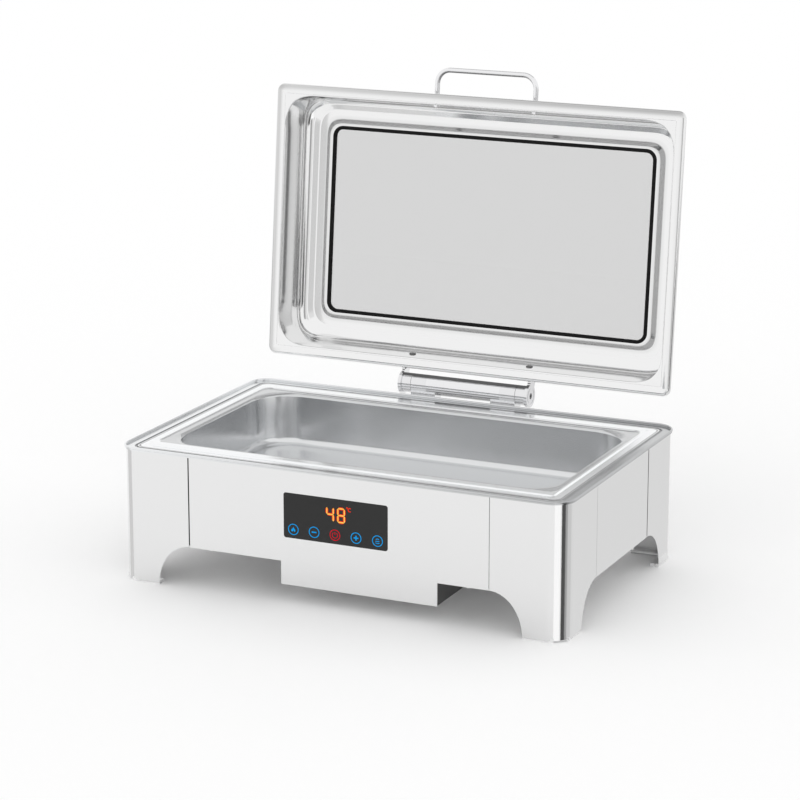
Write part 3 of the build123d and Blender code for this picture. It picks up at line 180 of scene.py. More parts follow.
floor_reach = 12.0
floor_points = level_sheet(-floor_reach, floor_reach, -floor_reach, floor_reach, 0.0, steps=3)
floor = add_object("floor", net_mesh("floor", floor_points))
floor_material, tree, output = new_material("floor_white")
white = tree.nodes.new("ShaderNodeBsdfDiffuse")
white.inputs["Color"].default_value = (1.0, 1.0, 1.0, 1)
tree.links.new(white.outputs["BSDF"], output.inputs["Surface"])
floor.data.materials.append(floor_material)
print("floor", len(floor.data.polygons), "faces")

# %% [markdown]
# ## Cards for the metal
# A photographer hangs black and white cards out of the picture, so that bends in
# polished metal get their dark and bright lines. The lines could be painted on the metal,
# but then they would stay in place when the dish is seen from elsewhere. These cards are
# seen by reflections alone: they light nothing, cast no shadow and stay out of the
# picture.


# %% A card
def card(name, points, brightness):
    """A thin card of one even brightness that only reflections show."""
    thing = add_object(name, net_mesh(name, points))
    material, tree, output = new_material(name)
    glow = tree.nodes.new("ShaderNodeEmission")
    glow.inputs["Color"].default_value = (1, 1, 1, 1)
    glow.inputs["Strength"].default_value = brightness
    tree.links.new(glow.outputs["Emission"], output.inputs["Surface"])
    thing.data.materials.append(material)
    thing.visible_camera = False
    thing.visible_diffuse = False
    thing.visible_transmission = False
    thing.visible_volume_scatter = False
    thing.visible_shadow = False
    return thing


# %% [markdown]
# ## Fans for the stand's corners
# An upright panel that is seen from above mirrors the floor close by, and a round corner
# mirrors the whole floor round it, squeezed into a narrow band. A fan on the floor that
# starts at the corner therefore draws one straight stripe down the corner, and its two
# bearings say where the stripe begins and ends. Six fans give the corners their stripes,
# from bright to nearly black.


# %% Fans
def fan(name, apex, start, end, brightness):
    """A sector on the floor: bearings in degrees from straight ahead of the stand,
    growing to the right. Each of its lines starts at the corner's round surface, where
    the surface faces halfway between the camera's bearing and the line's own, because
    that is the spot of the corner that mirrors the line into the camera."""
    bearing, reach = np.meshgrid(
        np.radians(np.linspace(start, end, fan_lines)), np.array([fan_near, fan_far]), indexing="ij"
    )
    facing = (bearing + camera_bearing) / 2
    points = np.stack(
        [
            apex[0] + corner_radius * np.sin(facing) + reach * np.sin(bearing),
            apex[1] - corner_radius * np.cos(facing) - reach * np.cos(bearing),
            np.full_like(reach, fan_height),
        ],
        axis=-1,
    )
    return card(name, points, brightness)


fan_near, fan_far, fan_height, fan_lines = 0.0015, 4.0, 0.0006, 17
corner_radius = 0.0245
right_corner = (0.261, -0.157)
left_corner = (-0.261, -0.157)
fans = [
    ("bright_fan", right_corner, 24, 56, 1.15),
    ("dark_fan", right_corner, 63, 87, 0.09),
    ("dim_fan", right_corner, 84, 100, 0.40),
    ("grey_fan", right_corner, 100, 128, 0.68),
    ("pale_fan", right_corner, 128, 178, 0.80),
    ("left_fan", left_corner, -104, -68, 0.72),
]
for name, apex, start, end, brightness in fans:
    fan(name, apex, start, end, brightness)
print("fans", len(fans))

# %% [markdown]
# ## Screens for the lid
# The lid stands upright, so its left wall mirrors what stands in front of the dish and
# not the floor. Five curved screens side by side give that wall its upright stripes. Its
# upper wall mirrors the ceiling, which gets one grey card, and the round hinge barrel gets
# a small dark flag close above it, for the dark line along its back.


# %% Screens, ceiling and flag
def screen(name, start, end, brightness):
    """A curved standing card round the lid's left edge, bearings in degrees from straight
    ahead of the stand, growing to the right."""
    bearing, height = np.meshgrid(
        np.radians(np.linspace(start, end, screen_lines)),
        np.array([screen_low, screen_high]),
        indexing="ij",
    )
    across = lid_left[0] + screen_radius * np.sin(bearing)
    along = lid_left[1] - screen_radius * np.cos(bearing)
    return card(name, np.stack([across, along, height], axis=-1), brightness)


lid_left = (-0.25, 0.22)
screen_radius, screen_low, screen_high, screen_lines = 2.4, 0.0, 1.1, 9
screens = [
    ("soft_screen", 14.5, 20.5, 0.82),
    ("grey_screen", 20.5, 25.5, 0.66),
    ("pale_screen", 25.5, 33.0, 0.92),
    ("dim_screen", 33.0, 40.0, 0.72),
    ("dark_screen", 40.0, 55.0, 0.38),
]
for name, start, end, brightness in screens:
    screen(name, start, end, brightness)
ceiling_tone, flag_tone = 0.58, 0.13
ceiling_sheet = level_sheet(left=-1.3, right=1.3, front=0.35, rear=2.4, height=2.6)
flag_sheet = level_sheet(left=-0.088, right=0.088, front=0.190, rear=0.216, height=0.1945)
card("ceiling_card", ceiling_sheet, ceiling_tone)
card("hinge_flag", flag_sheet, flag_tone)
print("screens", len(screens), "and two flat cards")

# %% [markdown]
# ## The makings of a finish
# Almost every surface is a little uneven, and a finish without that looks like plastic
# film. One noise pattern can do all of it: the same noise moves the roughness up and
# down and raises a very low relief. It reads Object coordinates, so it stays on the piece
# when the lid turns. These steps come back in most of the finishes below.


# %% Noise, gloss and relief
def piece_place(tree):
    """The coordinates of a piece: Object is the place on it, Normal the way it faces."""
    return tree.nodes.new("ShaderNodeTexCoord")


def fine_noise(tree, coordinates, scale, detail):
    """A noise pattern over the given coordinates."""
    noise = tree.nodes.new("ShaderNodeTexNoise")
    noise.inputs["Scale"].default_value = scale
    noise.inputs["Detail"].default_value = detail
    tree.links.new(coordinates, noise.inputs["Vector"])
    return noise


def uneven_gloss(tree, noise, shader, roughness):
    """Roughness that wanders with the noise, a small share to either side of its value."""
    level = tree.nodes.new("ShaderNodeMapRange")
    level.inputs["To Min"].default_value = roughness * (1 - gloss_spread)
    level.inputs["To Max"].default_value = roughness * (1 + gloss_spread)
    tree.links.new(noise.outputs["Fac"], level.inputs["Value"])
    tree.links.new(level.outputs["Result"], shader.inputs["Roughness"])


def relief(tree, noise, shader, strength, depth):
    """The noise as a very low relief, its depth in metres."""
    bump = tree.nodes.new("ShaderNodeBump")
    bump.inputs["Strength"].default_value = strength
    bump.inputs["Distance"].default_value = depth
    tree.links.new(noise.outputs["Fac"], bump.inputs["Height"])
    tree.links.new(bump.outputs["Normal"], shader.inputs["Normal"])


gloss_spread = 0.15
print("gloss wanders by", gloss_spread, "of its value")

# %% [markdown]
# ## Steel sheet
# The sheet is polished stainless steel. A full mirror would look like glass, so the
# roughness is low but not zero, and a very fine grain along the sheet breaks the
# reflections a little. The noise is stretched along one direction, as the marks of a
# polishing belt are. Two dimmers of painted shade wait for the pieces that need them: a
# value kept at each point of a drawn sheet, and a darkening from the left to the right
# end of the rim.


# %% Steel
def dimmed(tree, shader, colour):
    """The colour through a mix with black, whose factor is the colour's share."""
    dim = tree.nodes.new("ShaderNodeMix")
    dim.data_type = "RGBA"
    dim.inputs["A"].default_value = (0, 0, 0, 1)
    dim.inputs["B"].default_value = (*colour, 1)
    tree.links.new(dim.outputs["Result"], shader.inputs["Base Color"])
    return dim.inputs["Factor"]


def end_to_end(tree, place, left_share, right_share):
    """A share that runs evenly from the left end of the stand to its right end."""
    parts = tree.nodes.new("ShaderNodeSeparateXYZ")
    along = tree.nodes.new("ShaderNodeMapRange")
    along.inputs["From Min"].default_value = -shade_fade_reach
    along.inputs["From Max"].default_value = shade_fade_reach
    along.inputs["To Min"].default_value = left_share
    along.inputs["To Max"].default_value = right_share
    tree.links.new(place.outputs["Object"], parts.inputs["Vector"])
    tree.links.new(parts.outputs["X"], along.inputs["Value"])
    return along.outputs["Result"]


def steel(name, colour, roughness, grain, grain_scale, painted_shade=None, shade_fade=None):
    """Polished metal: a metallic shader whose roughness and relief follow a stretched
    noise. One dimmer names a value kept at each point, which darkens the colour where it
    is low as painted shade; the other gives the colour's shares at the left and at the
    right end, a painted shade that runs from end to end."""
    material, tree, output = new_material(name)
    shader = tree.nodes.new("ShaderNodeBsdfPrincipled")
    shader.inputs["Base Color"].default_value = (*colour, 1)
    shader.inputs["Metallic"].default_value = 1.0
    place = piece_place(tree)
    stretch = tree.nodes.new("ShaderNodeMapping")
    stretch.inputs["Scale"].default_value = grain_scale
    tree.links.new(place.outputs["Object"], stretch.inputs["Vector"])
    noise = fine_noise(tree, stretch.outputs["Vector"], scale=1.0, detail=3.0)
    uneven_gloss(tree, noise, shader, roughness)
    relief(tree, noise, shader, grain, grain_depth)
    if painted_shade:
        kept = tree.nodes.new("ShaderNodeAttribute")
        kept.attribute_name = painted_shade
        tree.links.new(kept.outputs["Fac"], dimmed(tree, shader, colour))
    if shade_fade:
        tree.links.new(end_to_end(tree, place, *shade_fade), dimmed(tree, shader, colour))
    tree.links.new(shader.outputs["BSDF"], output.inputs["Surface"])
    return material


grain_depth = 0.00002
shade_fade_reach = 0.28
level_grain, even_grain = (6, 6, 1800), (40, 40, 40)
sheet_steel = steel("sheet_steel", (0.82, 0.82, 0.82), 0.10, 0.15, level_grain)
# The lid and the pan dim their colour by a kept value, as painted shade at some bends and lines.
lid_steel = steel("lid_steel", (0.87, 0.87, 0.87), 0.10, 0.0, even_grain, painted_shade="painted_shade")
pan_steel = steel("pan_steel", (0.93, 0.94, 0.95), 0.20, 0.0, even_grain, painted_shade="painted_shade")
well_steel = steel("well_steel", (0.66, 0.67, 0.68), 0.24, 0.0, even_grain)
# The rim's colour darkens from its left end to its right end as painted shade.
rim_steel = steel("rim_steel", (0.86, 0.87, 0.88), 0.16, 0.0, even_grain, shade_fade=(0.98, 0.60))
print("materials so far", len(bpy.data.materials))

# %% [markdown]
# ## Small metal parts
# Screws, nuts and arms are plain bright steel. The bolts through the lid and the hinge's
# end screws are dark, as a painted reflection of the dark things round them.
# The heater's tube has been hot, so it is brown and dull. They all use the same recipe.
# The screws' grain is even, because such small parts are tumbled and not brushed, and the
# heating plate's grain runs one way, because it is cut from rolled sheet.

# %% Small metal parts
tumbled = (300, 300, 300)
# The dark colour of the bolts is a painted reflection of dark surroundings.
bolt_steel = steel("bolt_steel", (0.16, 0.16, 0.16), 0.35, 0.2, tumbled)
bright_steel = steel("bright_steel", (0.80, 0.80, 0.81), 0.12, 0.1, tumbled)
dark_steel = steel("dark_steel", (0.35, 0.33, 0.31), 0.35, 0.3, (200, 200, 200))
plain_aluminium = steel("plain_aluminium", (0.75, 0.76, 0.77), 0.3, 0.3, (10, 900, 900))
brass_metal = steel("brass_metal", (0.75, 0.66, 0.45), 0.3, 0.2, tumbled)
pin_metal = steel("pin_metal", (0.8, 0.78, 0.72), 0.25, 0.2, tumbled)
print("materials so far", len(bpy.data.materials))

# %% [markdown]
# ## Round bars
# The handle and the hinge barrel are round bars. A bar mirrors its surroundings as narrow
# stripes along it, and many of them come from small things close by. Cards for each would
# be fiddly and would show in other pieces too, so these stripes are painted reflections,
# laid in as tones of the colour: which tone a spot gets depends only on the way its
# surface faces on the piece itself.


# %% Round bars
def bar_steel(name, colour, roughness, direction, stops):
    """Polished steel for a thin round bar with painted reflections: stops pair how far the
    surface faces along a direction, from -1 to 1, with a share of the colour."""
    material, tree, output = new_material(name)
    shader = tree.nodes.new("ShaderNodeBsdfPrincipled")
    shader.inputs["Metallic"].default_value = 1.0
    place = piece_place(tree)
    noise = fine_noise(tree, place.outputs["Object"], scale=300.0, detail=2.0)
    facing = tree.nodes.new("ShaderNodeVectorMath")
    facing.operation = "DOT_PRODUCT"
    facing.inputs[1].default_value = direction
    level = tree.nodes.new("ShaderNodeMapRange")
    level.inputs["From Min"].default_value = -1.0
    tones = tree.nodes.new("ShaderNodeValToRGB")
    # A ramp sorts its stops by place, so all the places are set before the first tone.
    while len(tones.color_ramp.elements) < len(stops):
        tones.color_ramp.elements.new(0.5)
    for element, (way, share) in zip(tones.color_ramp.elements, stops):
        element.position = (way + 1) / 2
    for element, (way, share) in zip(tones.color_ramp.elements, stops):
        element.color = (*(part * share for part in colour), 1)
    tree.links.new(place.outputs["Normal"], facing.inputs[0])
    tree.links.new(facing.outputs["Value"], level.inputs["Value"])
    tree.links.new(level.outputs["Result"], tones.inputs["Fac"])
    tree.links.new(tones.outputs["Color"], shader.inputs["Base Color"])
    uneven_gloss(tree, noise, shader, roughness)
    tree.links.new(shader.outputs["BSDF"], output.inputs["Surface"])
    return material


bar_colour = (0.84, 0.84, 0.85)
handle_painted_stripes = [(-1.0, 1.0), (0.0, 1.0), (0.42, 0.34), (0.85, 0.26), (1.0, 0.5)]
barrel_painted_stripes = [
    (-1.0, 1.0), (0.10, 1.0), (0.20, 0.55), (0.32, 0.95),
    (0.44, 0.42), (0.56, 0.85), (0.68, 0.40), (0.9, 0.7),
]
handle_steel = bar_steel("handle_steel", bar_colour, 0.12, (0.25, 0.0, -0.97), handle_painted_stripes)
barrel_steel = bar_steel("barrel_steel", bar_colour, 0.12, (0.0, 0.0, -1.0), barrel_painted_stripes)
print("stripes on the handle", len(handle_painted_stripes), "and on the barrel", len(barrel_painted_stripes))

# %% [markdown]
# ## Rubber, plastic and paint
# The gasket is silicone rubber, the display panel is dark glossy glass and the box has
# painted ends. None of them is metal, so their gloss is a plain reflection on top of a
# colour. One recipe fits them all: its colour is mottled a little by the noise, and the
# strength of the reflection tells rubber from glass.


# %% Plastics and paint
def coated(name, colour, roughness, speckle=0.06, gloss=0.5):
    """Moulded or painted surface: one colour, varied by the speckle's share to either
    side. Gloss is the strength of its plain reflection, where a half is common plastic."""
    material, tree, output = new_material(name)
    shader = tree.nodes.new("ShaderNodeBsdfPrincipled")
    shader.inputs["Roughness"].default_value = roughness
    shader.inputs["Specular IOR Level"].default_value = gloss
    noise = fine_noise(tree, piece_place(tree).outputs["Object"], scale=900.0, detail=4.0)
    ramp_node = tree.nodes.new("ShaderNodeValToRGB")
    darker, lighter = ramp_node.color_ramp.elements
    darker.color = (*(part * (1 - speckle) for part in colour), 1)
    lighter.color = (*(part * (1 + speckle) for part in colour), 1)
    tree.links.new(noise.outputs["Fac"], ramp_node.inputs["Fac"])
    tree.links.new(ramp_node.outputs["Color"], shader.inputs["Base Color"])
    relief(tree, noise, shader, strength=0.1, depth=0.00003)
    tree.links.new(shader.outputs["BSDF"], output.inputs["Surface"])
    return material


# The black rubber also goes on the seam strips, where it is painted shade in the panels' gaps.
black_rubber_and_seam_shade = coated("black_rubber_and_seam_shade", (0.006, 0.006, 0.006), 0.6, gloss=0.15)
panel_black = coated("panel_black", (0.030, 0.030, 0.030), 0.30, 0.02, gloss=0.16)
end_paint = coated("end_paint", (0.060, 0.060, 0.060), 0.5)
black_plastic = coated("black_plastic", (0.02, 0.02, 0.02), 0.45)
board_green = coated("board_green", (0.02, 0.12, 0.05), 0.4)
pale_plastic = coated("pale_plastic", (0.7, 0.7, 0.68), 0.4)
print("materials so far", len(bpy.data.materials))

# %% [markdown]
# ## The window's glass
# Toughened glass is clear with a faint grey tint. A half-see-through white would be
# simpler, but it wouldn't bend the light or mirror the room. Real glass is never quite
# flat, so a wide, very low noise lets its reflections swim a little.


# %% Window glass
def grey_glass(name, tint):
    """Clear glass of one tint, with a slow wave in its surface."""
    material, tree, output = new_material(name)
    shader = tree.nodes.new("ShaderNodeBsdfPrincipled")
    shader.inputs["Base Color"].default_value = (*tint, 1)
    shader.inputs["Roughness"].default_value = 0.0
    shader.inputs["IOR"].default_value = 1.45
    shader.inputs["Transmission Weight"].default_value = 1.0
    noise = fine_noise(tree, piece_place(tree).outputs["Object"], scale=3.0, detail=2.0)
    relief(tree, noise, shader, strength=0.05, depth=0.0002)
    tree.links.new(shader.outputs["BSDF"], output.inputs["Surface"])
    return material


window_glass = grey_glass("window_glass", (0.66, 0.66, 0.66))
print("glass", window_glass.name)

# %% [markdown]
# ## Which piece gets which finish
# The construction pieces keep their own meshes and only get a material. Three of them are
# swapped for drawn pieces further on. A table of finishes and pieces is easier to check
# than one line for each piece, and the count at its end shows at once if a piece was
# forgotten.

# %% Finishes on the pieces
finished_nodes = [
    (
        sheet_steel,
        "corner_leg_front_left corner_leg_front_right corner_leg_rear_left "
        "corner_leg_rear_right front_panel rear_panel left_panel right_panel base_plate "
        "box_tray hinge_backing heater_clamps",
    ),
    (
        bright_steel,
        "base_screws box_screws inlet_screws saddle_screws saddle_nuts lid_bolt_nuts "
        "handle_washers handle_nuts hinge_shaft hinge_saddle_left hinge_saddle_right "
        "hinge_arm_left hinge_arm_right heater_studs heater_nuts",
    ),
    (black_plastic, "display_frame display_module mains_inlet board_components thermal_cutout"),
    # The seam strips behind the panels' gaps get black as painted shade in the gaps.
    (black_rubber_and_seam_shade, "window_gasket touch_pads seam_strips"),
    (bolt_steel, "lid_bolts hinge_end_screws"),
    (well_steel, "food_pan water_pan"),
    (end_paint, "box_end_left box_end_right"),
    (board_green, "power_board display_board"),
    (rim_steel, "top_rim"),
    (lid_steel, "lid_shell"),
    (handle_steel, "lid_handle"),
    (barrel_steel, "hinge_barrel"),
    (dark_steel, "heating_tube"),
    (plain_aluminium, "heating_plate"),
    (panel_black, "control_glass"),
    (pale_plastic, "hinge_bushings"),
    (brass_metal, "temperature_sensor"),
    (pin_metal, "inlet_pins"),
    (window_glass, "window_pane"),
]
for finish, names in finished_nodes:
    for name in names.split():
        nodes[name].data.materials.clear()
        nodes[name].data.materials.append(finish)
print("finished", sum(len(names.split()) for finish, names in finished_nodes), "of", len(nodes))

# %% [markdown]
# ## Where the lid stands
# The dish stands open, and its lid leans back past upright. It could be modelled lying
# flat and then be turned, but a finished piece has to stay unturned. So the lid gets three
# directions of its own, across, up its slope and away from its mouth, and every point of
# it is placed with them. The hinge gives the axis and the angle.


# %% Lid frame
def on_lid(points):
    """Points given as across, up and depth from the flange's middle, in millimetres,
    placed on the open lid in metres."""
    across, up, depth = (points[..., part:part + 1] / 1000 for part in range(3))
    return lid_middle + across * lid_right + up * lid_up + depth * lid_back


lid_joint = next(joint for joint in frame["joints"] if joint["name"] == "lid_hinge")
hinge_axis = np.array(lid_joint["pos_m"])
lid_lean = math.radians(180 - lid_joint["range_deg"][1])
lid_right = np.array([1.0, 0.0, 0.0])
lid_up = np.array([0.0, math.cos(lid_lean), math.sin(lid_lean)])
lid_back = np.array([0.0, math.sin(lid_lean), -math.cos(lid_lean)])
edge_half = (274.0, 173.5)
edge_above_hinge, flange_before_hinge = 0.01985, 0.01237
lid_middle = (
    hinge_axis + lid_up * (edge_above_hinge + edge_half[1] / 1000) - lid_back * flange_before_hinge
)
print("middle of the lid's flange", lid_middle.round(4))

# %% [markdown]
# ## Rounded rectangles
# Every line that runs round the lid or the pan is a rounded rectangle. A true circle at
# its corners would look machined: a drawn sheet starts to bend softly and bends hardest
# in the middle of the corner. So the quarter turn has an ease, which softens its start
# and its end. Each ring has the same count of points, and rings laid over each other
# make a net.


# %% Rounded rectangles
def side_places(steps):
    """Shares along a straight side, crowded at its ends, where the corners begin."""
    inner = np.linspace(0.1, 0.9, steps)
    return np.concatenate([[0.003, 0.02], inner, [0.98, 0.997]])


def quarter_turn(steps, ease):
    """A quarter turn from (1, 0) to (0, 1). Without ease it is a circle's. With ease its
    bend starts and ends softly: the heading grows by the share of the way less a part of
    its sine, and the points are the running sum of the steps along that heading."""
    share = np.linspace(0, 1, steps + 1)
    heading = np.pi / 2 * (share - ease * np.sin(2 * np.pi * share) / (2 * np.pi))
    across = np.cumsum(np.sin(heading[1:]) + np.sin(heading[:-1]))
    along = np.cumsum(np.cos(heading[1:]) + np.cos(heading[:-1]))
    return np.concatenate([[1], 1 - across / across[-1]]), np.concatenate([[0], along / along[-1]])


def rounded_rings(half_width, half_length, corner, arc_steps=20, side_steps=5, ease=0.0):
    """Rings of points, one per entry of the three arrays: four quarter turns joined by
    straight sides, the same count in each ring, going round anticlockwise."""
    half_width, half_length, corner = (
        part[:, None] for part in np.broadcast_arrays(half_width, half_length, corner)
    )
    shares = side_places(side_steps)
    pieces = []
    signs = [(1, 1), (-1, 1), (-1, -1), (1, -1)]
    turn_x, turn_y = quarter_turn(arc_steps, ease)
    for quarter, (sign_x, sign_y) in enumerate(signs):
        centre_x = sign_x * (half_width - corner)
        centre_y = sign_y * (half_length - corner)
        start_turn, end_turn = math.pi / 2 * quarter, math.pi / 2 * (quarter + 1)
        cosine, sine = round(math.cos(start_turn)), round(math.sin(start_turn))
        arc_x = centre_x + corner * (turn_x * cosine - turn_y * sine)[None, :]
        arc_y = centre_y + corner * (turn_x * sine + turn_y * cosine)[None, :]
        next_x, next_y = signs[(quarter + 1) % 4]
        end_x = next_x * (half_width - corner) + corner * math.cos(end_turn)
        end_y = next_y * (half_length - corner) + corner * math.sin(end_turn)
        side_x = arc_x[:, -1:] + (end_x - arc_x[:, -1:]) * shares
        side_y = arc_y[:, -1:] + (end_y - arc_y[:, -1:]) * shares
        pieces += [np.stack([arc_x, arc_y], axis=-1), np.stack([side_x, side_y], axis=-1)]
    return np.concatenate(pieces, axis=1)


print("points in a ring", rounded_rings([2.0], [1.0], [0.5]).shape[1])

# %% [markdown]
# ## Drawing a section
# A sheet piece is easiest to understand cut through: its section is one line with bends.
# A bend is an arc, and a step between two flats is a slope that starts and ends gently.
# The sheet's other side is the same line moved sideways by the thickness, which keeps the
# thickness even round each bend.


# %% Arcs, slopes and the other side
def arc(centre, radius, start, end, steps=8):
    """Points on a circle in the section's plane, angles in degrees."""
    turn = np.radians(np.linspace(start, end, steps))
    return np.stack([centre[0] + radius * np.cos(turn), centre[1] + radius * np.sin(turn)], axis=-1)


def ramp(start, end, ease_in, ease_out, steps=25):
    """A slope between two points of the section. Its steepness grows evenly over the
    first lengths of its run and falls off evenly over the last ones, and the height is
    the running sum of the steepness."""
    share = np.linspace(0, 1, steps)
    run = abs(end[0] - start[0])
    steepness = np.minimum(np.minimum(share * run / ease_in, (1 - share) * run / ease_out), 1)
    rise = np.concatenate([[0], np.cumsum(steepness[1:] + steepness[:-1])])
    outset = start[0] + (end[0] - start[0]) * share
    return np.stack([outset, start[1] + (end[1] - start[1]) * rise / rise[-1]], axis=-1)


def shifted(section, distance):
    """A section moved sideways by a distance, square to its own run."""
    run = np.gradient(section, axis=0)
    run /= np.linalg.norm(run, axis=1, keepdims=True)
    return section + distance * np.stack([-run[:, 1], run[:, 0]], axis=-1)


sheet = 1.0
print("sheet thickness", sheet, "mm")

# %% [markdown]
# ## The lid's section
# The lid is one drawn sheet. From the window outwards it has a flat seat for the glass,
# a step back to the roof, a shallow rise, a wide soft bend, a nearly straight wall, a
# narrow bend at the mouth, the flange, and the rolled bead at its edge. Each point of the
# section is an outset from the mouth, or from the flange's edge, and a depth behind the
# flange. The wall's lower end and the roof's rise follow from the bend between them. A
# flat stretch has a point close to each of its ends, so that smooth shading keeps it flat.

# %% Section of the lid, in millimetres
mouth_half = (260.5, 159.5)
roof_depth, seat_depth = 62.0, 57.5
mouth_bend, roof_bend, roof_bend_depth = 2.0, 15.0, 44.8
step_start, step_end, step_ease, rise_start, rise_ease = -36.0, -30.0, 1.2, -20.0, 1.6
close_by, no_ease = 0.2, 0.01
wall_degrees, rise_degrees = 3.1, 24.0
draft, roof_slope = math.radians(wall_degrees), math.radians(rise_degrees)
wall_end_depth = roof_bend_depth + roof_bend * math.sin(draft)
wall_end = -(wall_end_depth - mouth_bend) * math.tan(draft)
roof_bend_outset = wall_end - roof_bend * math.cos(draft)
rise_end = (
    roof_bend_outset + roof_bend * math.sin(roof_slope),
    roof_bend_depth + roof_bend * math.cos(roof_slope),
)
bowl_section = np.concatenate(
    [
        ramp((step_start, seat_depth), (step_end, roof_depth), step_ease, step_ease),
        np.linspace([step_end + close_by, roof_depth], [rise_start - close_by, roof_depth], 3),
        ramp((rise_start, roof_depth), rise_end, rise_ease, no_ease, 15),
        arc((roof_bend_outset, roof_bend_depth), roof_bend, 90 - rise_degrees, wall_degrees, 23)[1:],
        np.linspace([wall_end, wall_end_depth], [0.0, mouth_bend], 5)[1:-1],
        arc((mouth_bend, mouth_bend), mouth_bend, 180, 270, 9),
        [[mouth_bend + close_by, 0.0]],
    ]
)
bead_radius, bead_rise, bead_start, bead_ease = 4.5, 1.5, -12.0, 3.4
bead_section = np.concatenate(
    [
        ramp((bead_start, 0.0), (-bead_radius, -bead_rise), bead_ease, bead_ease, 19),
        arc((-bead_radius, bead_radius - bead_rise), bead_radius, 270, 360, 21)[1:],
    ]
)
print("bowl section", len(bowl_section), "points, bead section", len(bead_section), "points")

# %% [markdown]
# ## The lid's shell
# The section is carried round the lid: each of its points becomes one ring. The corners
# are wide at the mouth and tighten towards the window, so each ring has its own corner
# radius, read off a short table. The front of the sheet, then its back in reverse, make
# one closed net round the window's hole.


# %% Lid shell
def lid_rings(section, half, corner, ease=0.0):
    """Rings of one stretch of the section round a rectangle of the given halves."""
    outset, depth = section[:, 0], section[:, 1]
    rings = rounded_rings(half[0] + outset, half[1] + outset, corner, ease=ease)
    depth = np.repeat(depth[:, None, None], rings.shape[1], axis=1)
    return np.concatenate([rings, depth], axis=-1)


def bead_rings(section):
    """Rings of the bead, whose corner is the flange edge's and shrinks with the outset."""
    return lid_rings(section, edge_half, np.maximum(edge_corner + section[:, 0], least_corner))


def hole_rings(outsets, depth):
    """Rings at the window's hole: its edge and one close by, which keeps the edge crisp."""
    return lid_rings(np.array([[outset, depth] for outset in outsets]), hole_half, hole_corner)


bowl_ease = 0.8
corner_outsets = [-41, -36, -30, -20, -11, 0, 2.5]
corner_radii = [18.75, 21.25, 26.25, 31.25, 38.75, 46.25, 49.375]
corner_of_bowl = np.interp(bowl_section[:, 0], corner_outsets, corner_radii)
edge_corner, least_corner = 10.0, 0.5
hole_half, hole_corner, hole_crisp = (219.4, 120.0), 13.2, 0.25
hole_front = hole_rings([0.0, hole_crisp], seat_depth)
bowl_front = lid_rings(bowl_section, mouth_half, corner_of_bowl, bowl_ease)
bead_front = bead_rings(bead_section)
bead_back = bead_rings(shifted(bead_section, sheet))
bowl_back = lid_rings(shifted(bowl_section, sheet), mouth_half, corner_of_bowl, bowl_ease)
hole_back = hole_rings([hole_crisp, 0.0], seat_depth + sheet)
lid_stack = np.concatenate(
    [hole_front, bowl_front, bead_front, bead_back[::-1], bowl_back[::-1], hole_back]
)
lid_shell = add_object("lid_shell_drawn", net_mesh("lid_shell_drawn", on_lid(lid_stack), True, True))
lid_shell.data.materials.append(lid_steel)
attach(lid_shell, "lid")
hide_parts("lid_shell")
print("lid shell", len(lid_shell.data.polygons), "faces")

# %% [markdown]
# ## Painted shade on the lid
# A few bends show a darker line than the cards give them: the step at the window's seat
# and the outer side of the bead, most of all along its top. More cards would spoil the
# stripes that are right already. Instead these lines are painted shade: each point of
# the sheet keeps a painted shade value from 0 to 1, and the steel's colour is dimmed by it.


# %% Painted shade of the lid
def keep_painted_shade(thing, values):
    """Keep the painted shade value of each point with the piece, where its finish can read it."""
    kept = thing.data.attributes.new("painted_shade", "FLOAT", "POINT")
    kept.data.foreach_set("value", values)


painted_shade = np.ones(lid_stack.shape[:2])
bowl_start = len(hole_front)
bead_first = bowl_start + len(bowl_section)
bead_rows = slice(bead_first, bead_first + len(bead_section))
step_shade = np.interp(bowl_section[:, 0], [-36.5, -35.0, -31.0, -29.5], [1.0, 0.5, 0.5, 1.0])
painted_shade[bowl_start:bead_first] = step_shade[:, None]
across = lid_stack[bead_rows, :, 0] / edge_half[0]
up = lid_stack[bead_rows, :, 1] / edge_half[1]
side_shade = np.interp(across, [-0.98, -0.95, 0.97, 0.99], [0.72, 1.0, 1.0, 0.92])
top_shade = np.interp(up, [0.95, 0.985], [0.0, 1.0]) * np.interp(across, [-0.9, 0.9], [0.34, 0.56])
outer_share = np.interp(bead_section[:, 0], [-9.0, -6.0, -2.0, -0.3], [0.0, 1.0, 0.8, 0.25])
painted_shade[bead_rows] = 1 - outer_share[:, None] * (1 - side_shade * (1 - top_shade))
keep_painted_shade(lid_shell, painted_shade.ravel())
print("lowest polish on the lid", painted_shade.min().round(2))

# %% [markdown]
# ## The window's gasket
# A ring of black silicone grips both the edge of the sheet and the edge of the pane, so
# the glass can be pressed in without glue. Seen in section it is a letter H on its side:
# a round-edged lip in front, a slot for the pane, a slot for the sheet and a broad lip
# behind. The section is drawn once and carried round the window's hole.


# %% Gasket
def crisp(outline, gap):
    """An outline whose every corner is split into two points, a small gap before it and
    behind it, so that smooth shading keeps the corner sharp."""
    outline = np.asarray(outline, dtype=float)
    to_next = np.roll(outline, -1, axis=0) - outline
    length = np.linalg.norm(to_next, axis=1, keepdims=True)
    step = to_next / length * np.minimum(gap, length / 3)
    before, after = outline - np.roll(step, 1, axis=0), outline + step
    return np.stack([before, after], axis=1).reshape(-1, 2)


